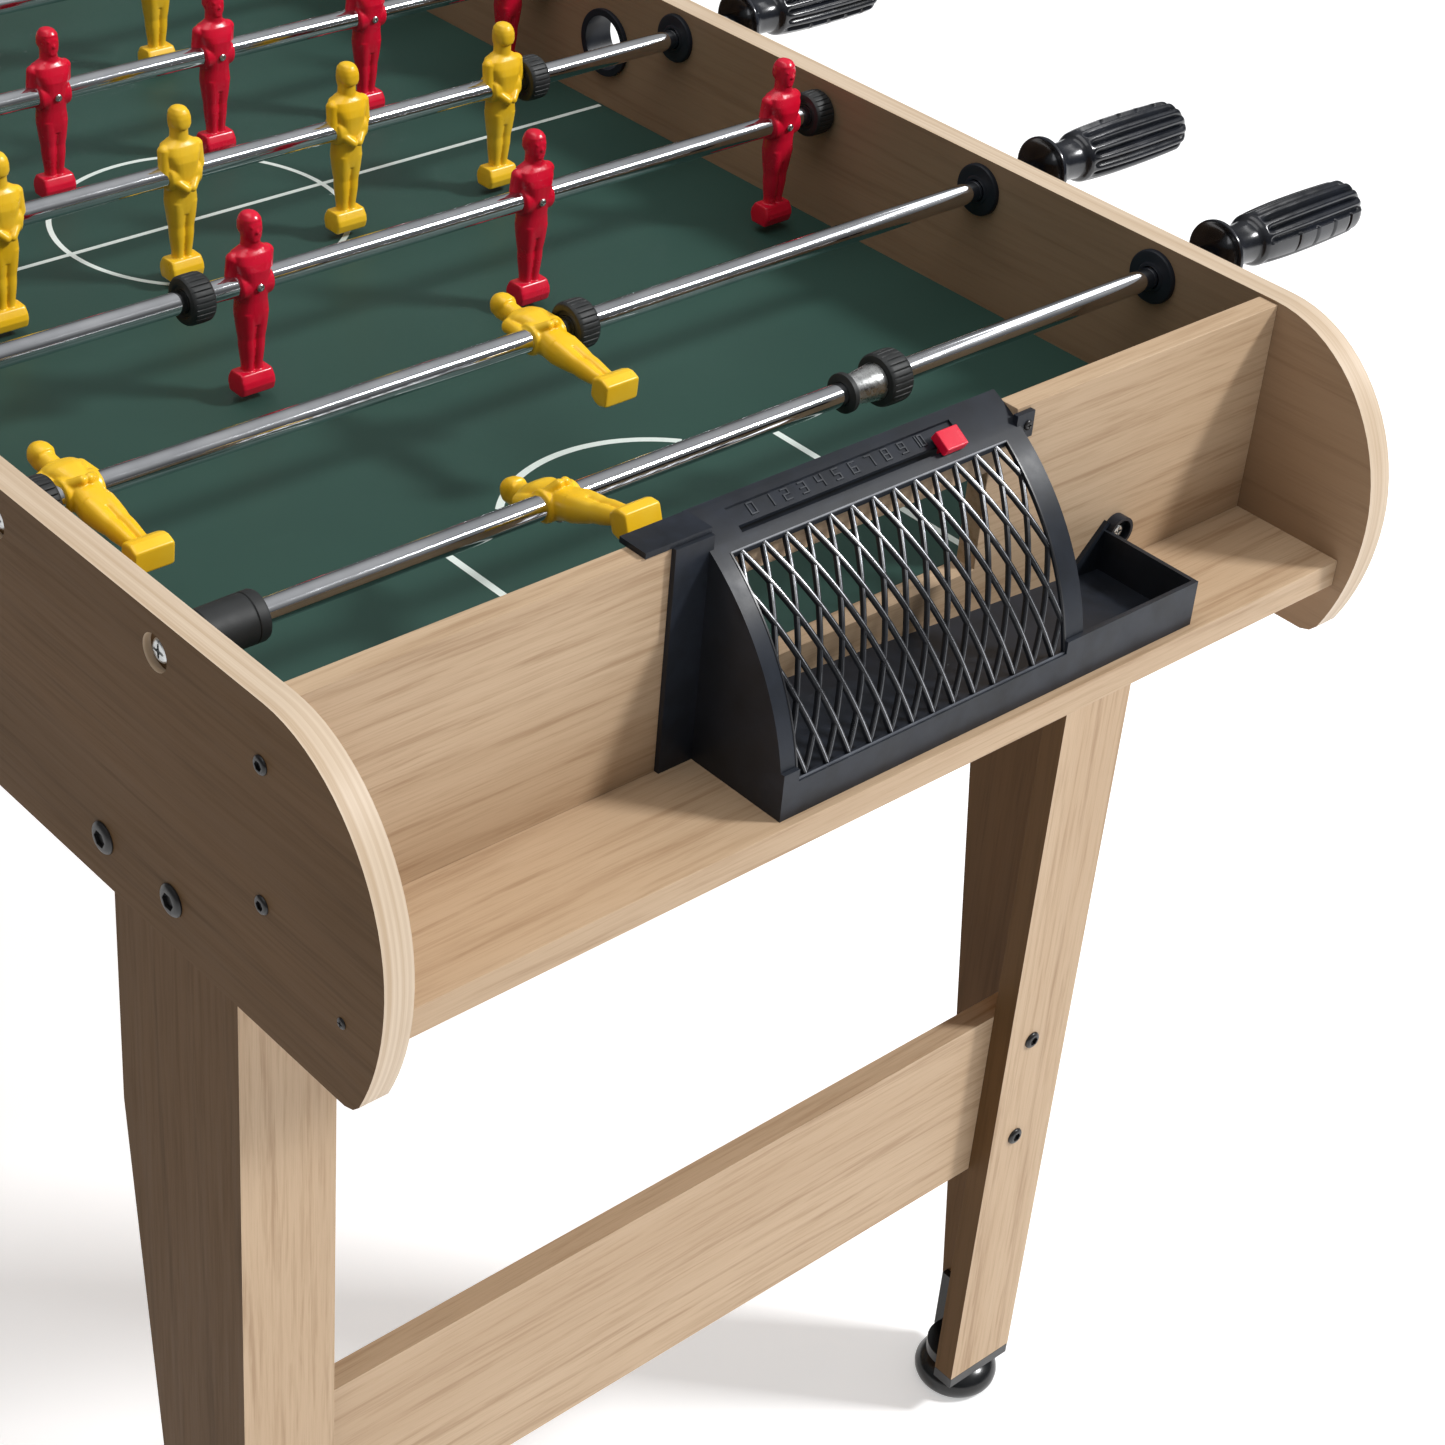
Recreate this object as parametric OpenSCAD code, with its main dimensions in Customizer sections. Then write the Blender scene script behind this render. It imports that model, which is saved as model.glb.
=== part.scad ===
// Eight-rod table football game on four legs.
// Millimetres. +X runs along the table, +Y across it, +Z up.
// The origin is on the floor under the centre of the playfield.
// Letters a to h name the rods from the +X end to the -X end.

/* [Cabinet] */

// Overall length over the rounded ends of the side panels
cabinet_length = 1220; // [1100:5:1400]
// Clear width between the side panels
inner_width = 608; // [520:2:700]
// Height of the side panels' top edge above the floor
top_height = 828; // [760:1:920]
// Depth of the side panels, top edge to bottom edge
panel_depth = 170; // [140:1:220]
// Thickness of side panels, shelves, leg boards and rails
board = 15; // [12:0.5:20]
// Thickness of the end boards
end_board = 12; // [9:0.5:16]
// Length of each rounded panel end, measured along X
nose_length = 82; // [60:1:120]
// Drop from the top edge to the widest point of the rounded end
nose_drop = 97; // [70:1:120]

/* [Playfield] */

// Drop from the top edge to the playing surface
field_drop = 86; // [70:1:110]
// Thickness of the playfield board
field_board = 9; // [5:0.5:15]
// Distance from the table's centre to the outer face of an end board
end_face = 530.5; // [480:0.5:600]
// Depth of the goal mouth's upper edge below the top edge
mouth_top = 31; // [15:1:40]

/* [Rods] */

// Distance between neighbouring rods
rod_pitch = 128.5; // [115:0.5:150]
// Drop from the top edge to the rod axis
rod_drop = 19; // [15:0.5:30]
// Outer diameter of the sliding rod tubes
rod_diameter = 12; // [10:0.5:16]
// Diameter of the fixed inner rods
inner_diameter = 9; // [6:0.5:12]
// Radial running clearance of rods in their bushings and of rods in tubes
running_gap = 0.05; // [0.02:0.01:0.1]
// Clearance left where a bumper stops against a panel
stop_gap = 0.3; // [0.2:0.1:1]

/* [Players] */

// Reach of a player's foot below the rod axis
foot_reach = 62; // [55:0.5:63]
// Top of a player's head above the rod axis
head_reach = 40; // [30:0.5:45]
// Spacing of the two players on a defence rod
two_man_spacing = 266.5; // [200:0.5:300]
// Spacing of the three players on an attack rod
three_man_spacing = 183.5; // [150:0.5:210]
// Spacing of the five players on a midfield rod
five_man_spacing = 110.8; // [95:0.1:125]
// Lean of the goalkeeper on the stored rod a, in degrees from hanging
keeper_lean = 108; // [0:1:120]
// Lean of the two players on the stored rod b, in degrees from hanging
defence_lean = 86; // [0:1:120]

/* [Handles] */

// Diameter of a handle's grip
grip_diameter = 31; // [26:0.5:38]
// Length of a handle from flange to tip
grip_length = 116; // [100:1:150]
// Gap between a panel's outer face and the handle's flange, rod pushed in
grip_gap = 35; // [8:1:50]

/* [Legs] */

// Distance from the table's centre to a leg's front face
leg_front = 484; // [420:1:520]
// Width of a leg's side board at the top
leg_wide = 100; // [70:1:130]
// Width of a leg's side board at the bottom
leg_narrow = 48; // [35:1:70]
// Width of a leg's front board
leg_front_width = 54; // [40:1:80]
// Height of a leg's bottom end above the floor
leg_bottom = 31; // [20:1:50]
// Height of the cross rail's lower edge
rail_bottom = 209.5; // [150:0.5:300]
// Height of the cross rail from edge to edge
rail_height = 125; // [80:1:150]
// Radius of a levelling foot
foot_radius = 27.5; // [18:0.5:32]
// Travel of a levelling foot on its screw
foot_travel = 12; // [5:1:20]

/* [Goal box] */

// Radius of the goal box's arched front
arch_radius = 134.6; // [110:0.1:160]
// Left cheek of the goal box, measured from the table's centre line
box_left = -88; // [-110:1:-70]
// Right cheek of the goal box, measured from the table's centre line
box_right = 110; // [90:1:120]
// End of the ball tray
tray_end = 192; // [150:1:230]
// Height of the ball tray
tray_height = 25.4; // [18:0.1:40]
// Wall of the goal box
box_wall = 2.5; // [2:0.1:4]

/* [Hidden] */

$fn = 48;
half = cabinet_length / 2;
inner_y = inner_width / 2;
outer_y = inner_y + board;
rod_z = top_height - rod_drop;
field_z = top_height - field_drop;
panel_bottom = top_height - panel_depth;
end_inner = end_face - end_board;
end_top = top_height - 1.5;
shelf_top = top_height - 120.8;
shelf_bottom = shelf_top - board;
shelf_front = half - 12;
rod_r = rod_diameter / 2;
bore_r = rod_r + running_gap;
inner_r = inner_diameter / 2;
leg_top = field_z - field_board - 5;
box_front = end_face + 62.6;
arch_x = box_front - arch_radius;
mouth_left = -85;
mouth_right = 95;
mouth_bottom = field_z;
serve_z = top_height - 44;
serve_r = 17;
// Round screw ear behind the end of the ball tray.
ear_y = 199.3;
ear_z = shelf_top + 22.4;
ear_r = 8.6;
window_angle = 35.7;
window_bottom = shelf_top + 18.8;
tube_end = inner_y - 1.5;
ring_r = 13;
grip_start = outer_y + grip_gap;
// Thickness of a bushing's flange inside the panel.
flange = 3.5;

// Rod rows in the attack direction of the far-handle team: kind, X place.
keeper = 0;
defence = 1;
midfield = 2;
attack = 3;

RUBBER = [0.05, 0.05, 0.055];
CHROME = [0.8, 0.81, 0.83];
YELLOW = [0.86, 0.62, 0.08];
RED = [0.75, 0.04, 0.1];
BROWN = [0.36, 0.26, 0.18];
OAK = [0.76, 0.63, 0.48];
PLASTIC = [0.1, 0.11, 0.12];
GREEN = [0.05, 0.17, 0.12];

function rod_x(i) = (3.5 - i) * rod_pitch;
function spacing(kind) = kind == defence ? two_man_spacing
    : kind == midfield ? five_man_spacing : kind == attack ? three_man_spacing : 0;
function men_count(kind) = [1, 2, 5, 3][kind];
// Places of the players along a rod, measured from the middle of the team.
function men_places(kind) = let (n = men_count(kind), s = spacing(kind))
    [for (i = [0:n - 1]) (i - (n - 1) / 2) * s];
// Bumper rings as [start, end] measured from the middle of the team.
function low_ring(kind) = let (e = men_places(kind)[0])
    kind == keeper ? [-198.7, -162.7] : kind == attack ? [e - 32.5, e - 18.5] : [e - 28, e - 14.4];
function high_ring(kind) = let (n = men_count(kind), e = men_places(kind)[n - 1])
    kind == keeper ? [201.3, 216.3] : kind == attack ? [e + 28, e + 42] : [e + 14.4, e + 28];
// The rod is stored pushed in, with its low bumper at the panel opposite the handle.
function pushed(kind) = -inner_y + stop_gap - low_ring(kind)[0];

// A cylinder along Y from y0 to y1.
module bar(r, y0, y1) {
  translate([0, y0, 0]) rotate([-90, 0, 0]) cylinder(r = r, h = y1 - y0);
}

module cone_bar(r0, r1, y0, y1) {
  translate([0, y0, 0]) rotate([-90, 0, 0]) cylinder(r1 = r0, r2 = r1, h = y1 - y0);
}

// Puts rod-frame children at rod i. Red rods are the far-handle rods turned half round.
module at_rod(i, red) {
  translate([rod_x(i), 0, rod_z]) rotate([0, 0, red ? 180 : 0]) children();
}

// The rounded outline of a side panel in X and Z.
module panel_outline() {
  low_drop = panel_depth - nose_drop;
  nose = [for (a = [90:-5:0])
    [half - nose_length + nose_length * cos(a), -nose_drop + nose_drop * sin(a)]];
  tail = [for (k = [1:9]) let (d = k / 9 * (low_drop - 6))
    [half - 150 + sqrt(150 * 150 - d * d), -nose_drop - d]];
  tip_x = half - 150 + sqrt(150 * 150 - (low_drop - 6) * (low_drop - 6));
  side = concat(nose, tail, [[tip_x - 4, -panel_depth + 2], [tip_x - 10, -panel_depth]]);
  other = [for (k = [len(side) - 1:-1:0]) [-side[k][0], side[k][1]]];
  polygon(concat(side, other));
}

module side_panel() {
  difference() {
    translate([0, outer_y, top_height]) rotate([90, 0, 0]) linear_extrude(board) panel_outline();
    // Bushing holes for the four rods whose handles are on this side.
    for (i = [0, 1, 3, 5]) translate([rod_x(i), 0, rod_z]) bar(9, inner_y - 1, outer_y + 1);
    // Recessed anchor holes for the other four inner rods.
    for (i = [2, 4, 6, 7]) translate([rod_x(i), 0, rod_z]) {
      bar(3.05, inner_y - 1, outer_y + 1);
      bar(9, outer_y - 4, outer_y + 1);
    }
    // Serving hole at the halfway line.
    translate([0, 0, serve_z]) bar(serve_r + 2.5, inner_y - 1, outer_y + 1);
    // Leg bolts.
    for (s = [-1, 1]) for (x = [402, 457]) translate([s * x, 0, panel_bottom + 26])
      bar(3.05, inner_y - 1, outer_y + 1);
  }
}

module far_side_panel() { color(BROWN) side_panel(); }
module near_side_panel() { color(BROWN) rotate([0, 0, 180]) side_panel(); }

module end_board_part() {
  difference() {
    translate([end_inner, -inner_y, shelf_bottom]) cube([end_board, inner_width, end_top - shelf_bottom]);
    // Goal mouth.
    translate([end_inner - 1, mouth_left, mouth_bottom])
      cube([end_board + 2, mouth_right - mouth_left, top_height - mouth_top - mouth_bottom]);
    // Shallow notch that the goal box's crown sits in.
    translate([end_inner - 1, box_left, end_top - 10.5])
      cube([end_board + 2, box_right - box_left, 20]);
  }
}

module right_end_board() { color(OAK) end_board_part(); }
module left_end_board() { color(OAK) rotate([0, 0, 180]) end_board_part(); }

module end_shelf_part() {
  translate([end_face, -inner_y, shelf_bottom]) cube([shelf_front - end_face, inner_width, board]);
}

module right_end_shelf() { color(OAK) end_shelf_part(); }
module left_end_shelf() { color(OAK) rotate([0, 0, 180]) end_shelf_part(); }

module playfield() {
  color(GREEN) translate([-end_inner, -inner_y, field_z - field_board])
    cube([2 * end_inner, inner_width, field_board]);
}

// Battens under the playfield, one along each side panel.
module playfield_battens() {
  color(OAK) for (s = [0, 180]) rotate([0, 0, s])
    translate([-370, inner_y - 20, field_z - field_board - 20]) cube([740, 20, 20]);
}

// The goal box outline in X and Z: arch outside at radius r.
module arch_sector(r, x0) {
  intersection() {
    translate([arch_x, shelf_top]) circle(r = r, $fn = 160);
    translate([x0, shelf_top]) square([700, 200]);
  }
}

module along_y(y0, y1) {
  translate([0, y1, 0]) rotate([90, 0, 0]) linear_extrude(y1 - y0) children();
}

module goal_box_part() {
  crown_x = end_inner - 4.5;
  difference() {
    union() {
      // Arched front sheet and crown.
      difference() {
        along_y(box_left, box_right) arch_sector(arch_radius, crown_x);
        along_y(box_left - 1, box_right + 1) arch_sector(arch_radius - box_wall, 0);
      }
      // Left cheek outside the end board. The right end is open, so balls roll on into the tray.
      along_y(box_left, box_left + box_wall) arch_sector(arch_radius, end_face);
      // Two small cheek ends over the notch.
      for (y = [box_left, box_right - box_wall])
        along_y(y, y + box_wall) intersection() {
          arch_sector(arch_radius, crown_x);
          translate([crown_x, end_top - 10.5]) square([200, 40]);
        }
      // Front band under the window.
      translate([box_front - box_wall, box_left, shelf_top]) cube([box_wall, box_right - box_left, tray_height]);
      // Flange screwed to the end board beside the left cheek.
      translate([end_face, box_left - 20, shelf_top]) cube([3, 20 + box_wall, end_top - shelf_top]);
      // Tab over the end board's top edge.
      translate([crown_x, box_left - 36, end_top]) cube([end_face - crown_x + 1, 36 + box_wall, 3]);
      // Ear with a screw beside the right cheek.
      translate([end_face, box_right - box_wall, end_top - 16]) cube([3, 12, 14]);
    }
    // Grille window.
    along_y(box_left + 9.5, box_right - 13) intersection() {
      difference() {
        arch_sector(arch_radius + 5, 0);
        arch_sector(arch_radius - 5, 0);
      }
      translate([arch_x + arch_radius * sin(window_angle), window_bottom]) square([200, 200]);
    }
    // Score rail recess in the crown.
    along_y(-68, 74) difference() {
      translate([end_inner + 1, top_height - 20]) square([12.5, 40]);
      circle_cut();
    }
    // Slot that the score slider's stem runs in.
    along_y(-66, 72) translate([end_inner + 9, top_height - 30]) square([3, 40]);
  }
}

// Ramp that leads balls to the open end. It falls towards the tray and towards the front.
module box_ramp() {
  y0 = box_left + box_wall;
  x1 = arch_x + arch_radius - box_wall - 3;
  intersection() {
    translate([end_face, 0, 0]) rotate([90, 0, 90]) linear_extrude(x1 - end_face)
      polygon([[y0, shelf_top], [tray_end - box_wall, shelf_top], [tray_end - box_wall, shelf_top + box_wall],
        [y0, shelf_top + 24]]);
    along_y(y0, tray_end - box_wall)
      polygon([[end_face, shelf_top], [x1, shelf_top], [x1, shelf_top + 13.5], [end_face, shelf_top + 25]]);
  }
}

// Low back wall of the tray that rises to a round screw ear.
module tray_back() {
  translate([end_face, 0, 0]) rotate([90, 0, 90]) linear_extrude(2.5)
    polygon([[166, shelf_top], [168, shelf_top + 10], [173, shelf_top + 12], [191.2, shelf_top + 30],
      [ear_y, ear_z + 2], [ear_y + 6, ear_z - 5], [194, shelf_top + 14], [tray_end, shelf_top]]);
  translate([end_face, ear_y, ear_z]) rotate([0, 90, 0]) cylinder(r = ear_r, h = 6);
}

// Keeps the lower part of the crown under the score rail recess.
module circle_cut() {
  translate([arch_x, shelf_top]) circle(r = arch_radius - 1.2, $fn = 160);
}

// Tray that the balls roll into, moulded on the open end of the goal box.
module ball_tray_part() {
  difference() {
    union() {
      translate([box_front - box_wall, box_right, shelf_top]) cube([box_wall, tray_end - box_right, tray_height]);
      translate([end_face, box_right, shelf_top]) cube([box_front - end_face, tray_end - box_right, box_wall]);
      translate([end_face, tray_end - box_wall, shelf_top]) cube([box_front - end_face, box_wall, tray_height]);
      box_ramp();
      tray_back();
    }
    // Screw recess and hole in the round ear.
    translate([end_face + 2, ear_y, ear_z]) rotate([0, 90, 0]) cylinder(r = ear_r - 1.8, h = 10);
    translate([end_face - 1, ear_y, ear_z]) rotate([0, 90, 0]) cylinder(r = 2.05, h = 5);
  }
}

module right_ball_tray() { color(PLASTIC) ball_tray_part(); }
module left_ball_tray() { color(PLASTIC) rotate([0, 0, 180]) ball_tray_part(); }

module right_goal_box() { color(PLASTIC) goal_box_part(); }
module left_goal_box() { color(PLASTIC) rotate([0, 0, 180]) goal_box_part(); }

// Diamond lattice bent over the arch.
module goal_grille_part() {
  y0 = box_left + 9.8;
  y1 = box_right - 13.3;
  z0 = window_bottom + 0.3;
  z1 = shelf_top + 112;
  cell_w = (y1 - y0) / 13;
  cell_h = 30;
  intersection() {
    along_y(y0, y1) intersection() {
      difference() {
        arch_sector(arch_radius - 0.4, 0);
        arch_sector(arch_radius - 2, 0);
      }
      translate([arch_x + arch_radius * sin(window_angle) + 0.3, z0]) square([200, 200]);
    }
    translate([end_face, 0, 0]) rotate([90, 0, 90]) linear_extrude(90) difference() {
      translate([y0, z0 - 1]) square([y1 - y0, z1 - z0 + 20]);
      intersection() {
        translate([y0 + 2.5, z0 + 2]) square([y1 - y0 - 5, 86]);
        union() for (i = [0:13]) for (j = [0:6])
          translate([y0 + i * cell_w + (j % 2) * cell_w / 2, z0 - 2 + j * cell_h / 2])
            polygon([[-cell_w / 2 + 1.2, 0], [0, -cell_h / 2 + 2], [cell_w / 2 - 1.2, 0], [0, cell_h / 2 - 2]]);
      }
    }
  }
}

module right_goal_grille() { color(PLASTIC) goal_grille_part(); }
module left_goal_grille() { color(PLASTIC) rotate([0, 0, 180]) goal_grille_part(); }

// Score slider: a button over the recess, a stem through the slot and a foot below it.
module score_slider_part() {
  x = end_inner + 10.5;
  z = shelf_top + sqrt(pow(arch_radius, 2) - pow(x - arch_x, 2));
  translate([x, 64, z]) {
    rotate([0, asin((x - arch_x) / arch_radius), 0]) translate([-5.5, -7, 0.4]) cube([11, 14, 5.4]);
    translate([-1.3, -5, -4.8]) cube([2.6, 10, 6.8]);
  }
}

module right_score_slider() { color(RED) score_slider_part(); }
module left_score_slider() { color(RED) rotate([0, 0, 180]) score_slider_part(); }

// Flanged bushing in a panel for a sliding rod.
module bushing() {
  difference() {
    union() {
      bar(8.95, inner_y - 3, outer_y + 3);
      bar(15, inner_y - flange, inner_y);
      bar(13, outer_y, outer_y + 3);
    }
    bar(bore_r, inner_y - 10, outer_y + 10);
  }
}

module bushings() {
  color(RUBBER) {
    for (i = [0, 1, 3, 5]) at_rod(i, false) bushing();
    for (i = [2, 4, 6, 7]) at_rod(i, true) bushing();
  }
}

// Fixed rods that the tubes run on, standing on the panel opposite each handle.
function travel(kind) = 2 * inner_y - flange - 2 * stop_gap - high_ring(kind)[1] + low_ring(kind)[0];

module inner_rod(kind) {
  bar(inner_r, -inner_y, -inner_y + travel(kind) + 45);
}

module inner_rods() {
  color(CHROME) {
    for (p = [[0, keeper], [1, defence], [3, midfield], [5, attack]]) at_rod(p[0], false) inner_rod(p[1]);
    for (p = [[7, keeper], [6, defence], [4, midfield], [2, attack]]) at_rod(p[0], true) inner_rod(p[1]);
  }
}

// Anchor screw heads in their recesses, leg bolts, board screws and rail bolts.
module panel_fasteners() {
  for (i = [2, 4, 6, 7]) translate([rod_x(i), 0, rod_z]) {
    bar(3, inner_y, outer_y - 3);
    bar(6, outer_y - 4, outer_y - 0.5);
  }
  for (s = [-1, 1]) {
    for (x = [402, 457]) translate([s * x, 0, panel_bottom + 26]) {
      bar(3, inner_y - board - 3, outer_y + 1);
      bar(8, outer_y, outer_y + 2.5);
      bar(6, inner_y - board - 6, inner_y - board);
    }
    for (z = [top_height - 31, top_height - 102]) translate([s * (end_face - 4.5), 0, z])
      bar(4.5, outer_y, outer_y + 0.8);
    translate([s * 582, 0, shelf_bottom + 9]) bar(2.7, outer_y, outer_y + 0.6);
  }
}

// Screws of the goal box: one in the tray's round ear, one in the ear beside the crown.
module box_screws() {
  translate([end_face, ear_y, ear_z]) rotate([0, 90, 0]) {
    cylinder(r = 2, h = 3);
    translate([0, 0, 2]) cylinder(r = 4, h = 2);
  }
  translate([end_face + 3, box_right + 5.5, end_top - 9]) rotate([0, 90, 0]) cylinder(r = 2.6, h = 1.2);
}

module rail_bolt() {
  rotate([0, 90, 0]) {
    translate([0, 0, leg_front - 2 * board - 3]) cylinder(r = 3, h = 2 * board + 3);
    translate([0, 0, leg_front]) cylinder(r = 5.6, h = 2.5);
    translate([0, 0, leg_front - 2 * board - 5]) cylinder(r = 6, h = 5);
  }
}

module fasteners() {
  color(PLASTIC) for (s = [0, 180]) rotate([0, 0, s]) {
    panel_fasteners();
    box_screws();
    for (y = [-271, 271]) for (z = [rail_bottom + 27.5, rail_bottom + 106.5])
      translate([0, y, z]) rail_bolt();
  }
}

// Rings that line the serving holes.
module serve_cups() {
  color(RUBBER) for (s = [0, 180]) rotate([0, 0, s]) translate([0, 0, serve_z]) difference() {
    union() {
      bar(serve_r + 2.4, inner_y - 2, outer_y + 2);
      bar(21.5, inner_y - 3, inner_y);
      bar(21.5, outer_y, outer_y + 3);
    }
    bar(serve_r, inner_y - 10, outer_y + 10);
  }
}

// One leg: a tapered side board and a straight front board, in the +X +Y corner.
module leg_part() {
  back_top = leg_front - leg_wide;
  back_bottom = leg_front - leg_narrow;
  difference() {
    union() {
      translate([0, inner_y, 0]) rotate([90, 0, 0]) linear_extrude(board)
        polygon([[back_top, leg_top], [back_top, top_height - 320], [back_bottom, leg_bottom],
          [leg_front, leg_bottom], [leg_front, leg_top]]);
      translate([leg_front - board, inner_y - leg_front_width, leg_bottom])
        cube([board, leg_front_width, leg_top - leg_bottom]);
    }
    for (x = [402, 457]) translate([x, 0, panel_bottom + 26]) bar(3.05, inner_y - board - 1, inner_y + 1);
    for (z = [rail_bottom + 27.5, rail_bottom + 106.5]) translate([leg_front - board - 1, 271, z])
      rotate([0, 90, 0]) cylinder(r = 3.05, h = board + 2);
  }
}

module leg_right_far() { color(OAK) leg_part(); }
module leg_right_near() { color(OAK) mirror([0, 1, 0]) leg_part(); }
module leg_left_far() { color(OAK) mirror([1, 0, 0]) leg_part(); }
module leg_left_near() { color(OAK) rotate([0, 0, 180]) leg_part(); }

module rail_part() {
  difference() {
    translate([leg_front - 2 * board, -inner_y + board, rail_bottom])
      cube([board, inner_width - 2 * board, rail_height]);
    for (y = [-271, 271]) for (z = [rail_bottom + 27.5, rail_bottom + 106.5])
      translate([leg_front - 2 * board - 1, y, z]) rotate([0, 90, 0]) cylinder(r = 3.05, h = board + 2);
  }
}

module cross_rails() { color(OAK) for (s = [0, 180]) rotate([0, 0, s]) rail_part(); }

foot_x = leg_front - 21.5;
foot_y = inner_y - 24;

// Cap under the leg that the levelling foot screws into.
module foot_cap() {
  difference() {
    union() {
      translate([leg_front - board, inner_y - leg_front_width, leg_bottom - 8])
        cube([board, leg_front_width, 8]);
      translate([leg_front - leg_narrow, inner_y - board - 5, leg_bottom - 8])
        cube([leg_narrow, board + 5, 8]);
      translate([foot_x, foot_y, leg_bottom - 8]) cylinder(r = 21.4, h = 8);
      translate([leg_front - leg_narrow, inner_y - board - 5, leg_bottom])
        cube([9, 5, 40]);
    }
    translate([foot_x, foot_y, 0]) cylinder(r = 4.05, h = 60);
  }
}

module foot_caps() {
  color(RUBBER) for (m = [0, 1]) for (s = [0, 180]) rotate([0, 0, s]) mirror([0, m, 0]) foot_cap();
}

// Levelling foot: domed pad on a stem.
module foot_part() {
  translate([foot_x, foot_y, 0]) {
    rotate_extrude($fn = 64) polygon(concat(
      [[0, 0], [foot_radius - 7, 0], [foot_radius - 3.3, 1.6], [foot_radius - 0.6, 6], [foot_radius, 9]],
      [for (a = [10:10:80]) [9 + (foot_radius - 9) * cos(a), 9 + 13.6 * sin(a)]], [[9, 22.6], [0, 22.6]]));
    cylinder(r = 4, h = leg_bottom + foot_travel + 5);
  }
}

module foot_right_far() { color(RUBBER) foot_part(); }
module foot_right_near() { color(RUBBER) mirror([0, 1, 0]) foot_part(); }
module foot_left_far() { color(RUBBER) mirror([1, 0, 0]) foot_part(); }
module foot_left_near() { color(RUBBER) rotate([0, 0, 180]) foot_part(); }

// Sliding tube of a rod, from the inner rod's panel to inside the handle.
module tube(kind) {
  difference() {
    bar(rod_r, -tube_end, grip_start + grip_length - 18);
    bar(inner_r + running_gap, -tube_end - 1, grip_start + grip_length);
  }
}

// One moulded player on its rod, hanging straight down.
module player() {
  difference() {
    union() {
      translate([0, 0, head_reach - 8]) sphere(r = 7, $fn = 32);
      translate([0, 0, head_reach - 6.5]) sphere(r = 6.5, $fn = 32);
      translate([0, 0, 16]) cylinder(r = 4.2, h = 14, $fn = 24);
      // Shoulders, chest and waist.
      translate([0, 0, 14]) bar(5, -9, 9);
      for (s = [-1, 1]) translate([0, s * 9, 14]) sphere(r = 5, $fn = 24);
      translate([-6, -10, -6]) cube([12, 20, 21]);
      // Arms down to the hips.
      for (s = [-1, 1]) translate([0, s * 10, -9]) cylinder(r = 3.4, h = 23, $fn = 24);
      // Boss round the rod.
      bar(9.6, -8.5, 8.5);
      // Hips and legs.
      translate([-5.5, -8.2, -20]) cube([11, 16.4, 16]);
      for (s = [-1, 1]) translate([0, s * 4.2, -foot_reach + 10]) cylinder(r1 = 3.6, r2 = 5, h = 34, $fn = 24);
      // Foot block.
      translate([0, 11, -foot_reach]) rotate([90, 0, 0]) linear_extrude(22)
        polygon([[-6.5, 0], [6.5, 0], [8, 6], [5, 14], [-5, 14], [-8, 6]]);
    }
    bar(bore_r, -20, 20);
  }
}

module team(kind, lean) {
  translate([0, pushed(kind), 0]) for (y = men_places(kind)) translate([0, y, 0]) rotate([0, -lean, 0]) player();
}

module ring(r, y0, y1) {
  difference() {
    union() {
      bar(r, y0 + 1.5, y1 - 1.5);
      cone_bar(r - 1.5, r, y0, y0 + 1.5);
      cone_bar(r, r - 1.5, y1 - 1.5, y1);
    }
    bar(bore_r, y0 - 1, y1 + 1);
  }
}

module bumper_pair(kind) {
  lo = low_ring(kind);
  hi = high_ring(kind);
  translate([0, pushed(kind), 0]) {
    ring(kind == keeper ? 11.8 : ring_r, lo[0], lo[1]);
    ring(ring_r + (kind == keeper ? 0.8 : 0), hi[0], hi[1]);
    if (kind == keeper) {
      // Loose sleeve and thin washer in front of the goalkeeper's outer bumper.
      difference() {
        cone_bar(7.4, 9.6, hi[0] - 19, hi[0]);
        bar(bore_r, hi[0] - 30, hi[0] + 10);
      }
      difference() {
        bar(10.2, hi[0] - 23, hi[0] - 19);
        bar(bore_r, hi[0] - 30, hi[0] + 10);
      }
    }
  }
}

// Ribbed handle with a flange, a collar and a rounded tip.
module grip() {
  g = grip_diameter / 2;
  y0 = grip_start;
  y1 = grip_start + grip_length;
  difference() {
    union() {
      bar(g - 0.5, y0, y0 + 3);
      cone_bar(g - 1, 10.5, y0 + 3, y0 + 10);
      bar(10.5, y0 + 10, y0 + 26);
      cone_bar(10.5, g - 2, y0 + 26, y0 + 33);
      cone_bar(g - 2, g + 0.5, y0 + 33, y1 - 14);
      cone_bar(g + 0.5, g - 2.5, y1 - 14, y1 - 5);
      cone_bar(g - 2.5, g - 8, y1 - 5, y1);
    }
    // Finger grooves along the grip.
    for (k = [0:7]) rotate([0, k * 45, 0]) translate([g - 1.5, y0 + 36, -1.4]) cube([5, y1 - y0 - 51, 2.8]);
    // Blind bore for the tube.
    bar(bore_r, y0 - 1, y1 - 17);
  }
}

module rod_a() { color(CHROME) at_rod(0, false) tube(keeper); }
module rod_b() { color(CHROME) at_rod(1, false) tube(defence); }
module rod_c() { color(CHROME) at_rod(2, true) tube(attack); }
module rod_d() { color(CHROME) at_rod(3, false) tube(midfield); }
module rod_e() { color(CHROME) at_rod(4, true) tube(midfield); }
module rod_f() { color(CHROME) at_rod(5, false) tube(attack); }
module rod_g() { color(CHROME) at_rod(6, true) tube(defence); }
module rod_h() { color(CHROME) at_rod(7, true) tube(keeper); }

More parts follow.
